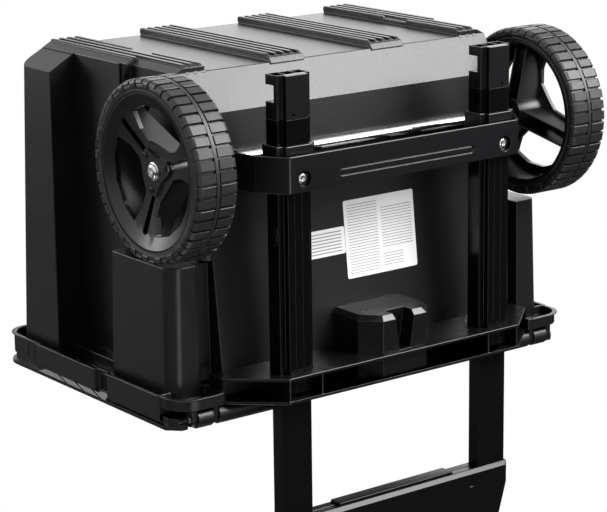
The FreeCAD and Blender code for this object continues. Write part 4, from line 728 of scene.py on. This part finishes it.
def grip_screws():
    """Two pairs of screws from the front, which join the grip's halves."""
    pairs = []
    for x in GRIP_SCREW_PAIRS:
        pairs.append(repeated(IN_ROW, "pair", turned(screw(*GRIP_SCREW), math.pi), BLACKENED, {
            "Copies": 2, "Start": metres(-x, GRIP_SCREW_SEAT, GRIP_SCREW_Z),
            "Step": metres(2 * x, 0.0, 0.0)}))
    stand_for(merged("grip_screw_heads", pairs), "grip_screws")


# ================================================================ labels

def wall_y(z):
    """Rear wall of the tub at a height."""
    return WALL_TOP[0] - (WALL_TOP[0] - WALL_FOOT[0]) * (WALL_TOP[1] - z) / (WALL_TOP[1] - WALL_FOOT[1])


def label(name, x, z):
    """Thin film stuck to the rear wall, with rounded corners."""
    left, right = x[0] + LABEL_CORNER, x[1] - LABEL_CORNER
    low, high = z[0] + LABEL_CORNER, z[1] - LABEL_CORNER
    outline = []
    for quarter, (a, b) in enumerate(((right, high), (left, high), (left, low), (right, low))):
        for step in range(CORNER_STEPS + 1):
            angle = math.radians(90 * (quarter + step / CORNER_STEPS))
            outline.append((a + LABEL_CORNER * math.cos(angle), b + LABEL_CORNER * math.sin(angle)))
    form = bmesh.new()
    sides = []
    for off_wall in (FILM_BACK, FILM_FRONT):
        sides.append([form.verts.new(metres(a, wall_y(b) + off_wall, b)) for a, b in outline])
    skin(form, sides)
    piece = closed_object(name, form)
    dress(piece, FILM)
    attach(piece, "box")


def ruled_lines(x, z, pitch, width, count):
    """Block of blank ruled lines on a label."""
    rise = wall_y(z + width) - wall_y(z)
    corners = [(x[0], 0.0, 0.0), (x[1], 0.0, 0.0), (x[1], rise, width), (x[0], rise, width)]
    form = bmesh.new()
    form.faces.new([form.verts.new(metres(*corner)) for corner in corners])
    line = closed_object("line", form)
    if line.data.polygons[0].normal.y < 0:
        line.data.flip_normals()
    return repeated(IN_ROW, "lines", line, INK, {
        "Copies": count, "Start": metres(0.0, wall_y(z) + INK_FRONT, z),
        "Step": metres(0.0, wall_y(z + pitch) - wall_y(z), pitch)})


def label_lines():
    """All ruled lines of both labels as one piece."""
    lines = merged("label_lines", [ruled_lines(*block) for block in RULED_BLOCKS])
    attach(lines, "box")


# ================================================================ stage

def make_floor():
    """Pale floor that only the camera sees, and only from above."""
    bpy.ops.mesh.primitive_plane_add(size=FLOOR_SIZE, location=(0, 0, 0))
    floor = bpy.context.object
    floor.name = "floor"
    material, tree = empty_material("pale_floor")
    path = add(tree, "ShaderNodeLightPath")
    geometry = add(tree, "ShaderNodeNewGeometry")
    pale = add(tree, "ShaderNodeBsdfDiffuse", {"Color": linear("#dedede")})
    clear = add(tree, "ShaderNodeBsdfTransparent")
    front = add(tree, "ShaderNodeMath", {"operation": "SUBTRACT", 0: 1.0},
                {1: geometry.outputs["Backfacing"]})
    shown = add(tree, "ShaderNodeMath", {"operation": "MULTIPLY"},
                {0: front.outputs[0], 1: path.outputs["Is Camera Ray"]})
    mixed = add(tree, "ShaderNodeMixShader", None,
                {0: shown.outputs[0], 1: clear.outputs[0], 2: pale.outputs[0]})
    add(tree, "ShaderNodeOutputMaterial", None, {"Surface": mixed.outputs[0]})
    dress(floor, material)


def make_world():
    """White to the camera and to mirrored rays that go down, dim to the others, between for dull faces."""
    world = bpy.data.worlds.new("studio")
    bpy.context.scene.world = world
    world.use_nodes = True
    tree = world.node_tree
    tree.nodes.clear()
    path = add(tree, "ShaderNodeLightPath")
    way = add(tree, "ShaderNodeTexCoord").outputs["Generated"]
    apart = add(tree, "ShaderNodeSeparateXYZ", None, {0: way})
    below = add(tree, "ShaderNodeMapRange", {"From Min": HORIZON[0], "From Max": HORIZON[1]},
                {"Value": apart.outputs["Z"]})
    mirrored = add(tree, "ShaderNodeMath", {"operation": "MULTIPLY"},
                   {0: path.outputs["Is Glossy Ray"], 1: below.outputs["Result"]})
    dull = add(tree, "ShaderNodeMath", {"operation": "MULTIPLY", 1: DIFFUSE_SHARE},
               {0: path.outputs["Is Diffuse Ray"]})
    level = add(tree, "ShaderNodeMath", {"operation": "MAXIMUM"},
                {0: path.outputs["Is Camera Ray"], 1: path.outputs["Is Transmission Ray"]})
    for other in (mirrored, dull):
        level = add(tree, "ShaderNodeMath", {"operation": "MAXIMUM"},
                    {0: level.outputs[0], 1: other.outputs[0]})
    strength = add(tree, "ShaderNodeMapRange", {"To Min": STUDIO_LEVEL}, {"Value": level.outputs[0]})
    background = add(tree, "ShaderNodeBackground", {"Color": (1, 1, 1, 1)},
                     {"Strength": strength.outputs["Result"]})
    add(tree, "ShaderNodeOutputWorld", None, {"Surface": background.outputs[0]})


def lamp(name, place, target, side, power):
    """Square soft box at a place, turned to a target and hidden from the camera."""
    data = bpy.data.lights.new(name, "AREA")
    data.size = side
    data.energy = power
    box = in_scene(name, data)
    box.location = place
    box.visible_camera = False
    box.rotation_mode = "QUATERNION"
    box.rotation_quaternion = (Vector(place) - Vector(target)).to_track_quat("Z", "Y")


# ================================================================ scene

bpy.context.scene.view_settings.view_transform = "Standard"
make_camera()
make_floor()
make_world()
for name, settings in LAMPS.items():
    lamp(name, *settings)

OWN_SHAPE = ("tyre_left", "tyre_right", "bracket_screws", "axle_bolts", "hub_screws_left",
             "hub_screws_right", "grip_screws")
for node in NODES:
    if node not in OWN_SHAPE:
        rounded_copy(node)

for name, side in SIDES.items():
    tyre(name, side)

bracket_screws()
axle_bolts()
for name, side in SIDES.items():
    hub_screws(name, side)
grip_screws()

for name, (x, z) in LABELS.items():
    label(name, x, z)
label_lines()
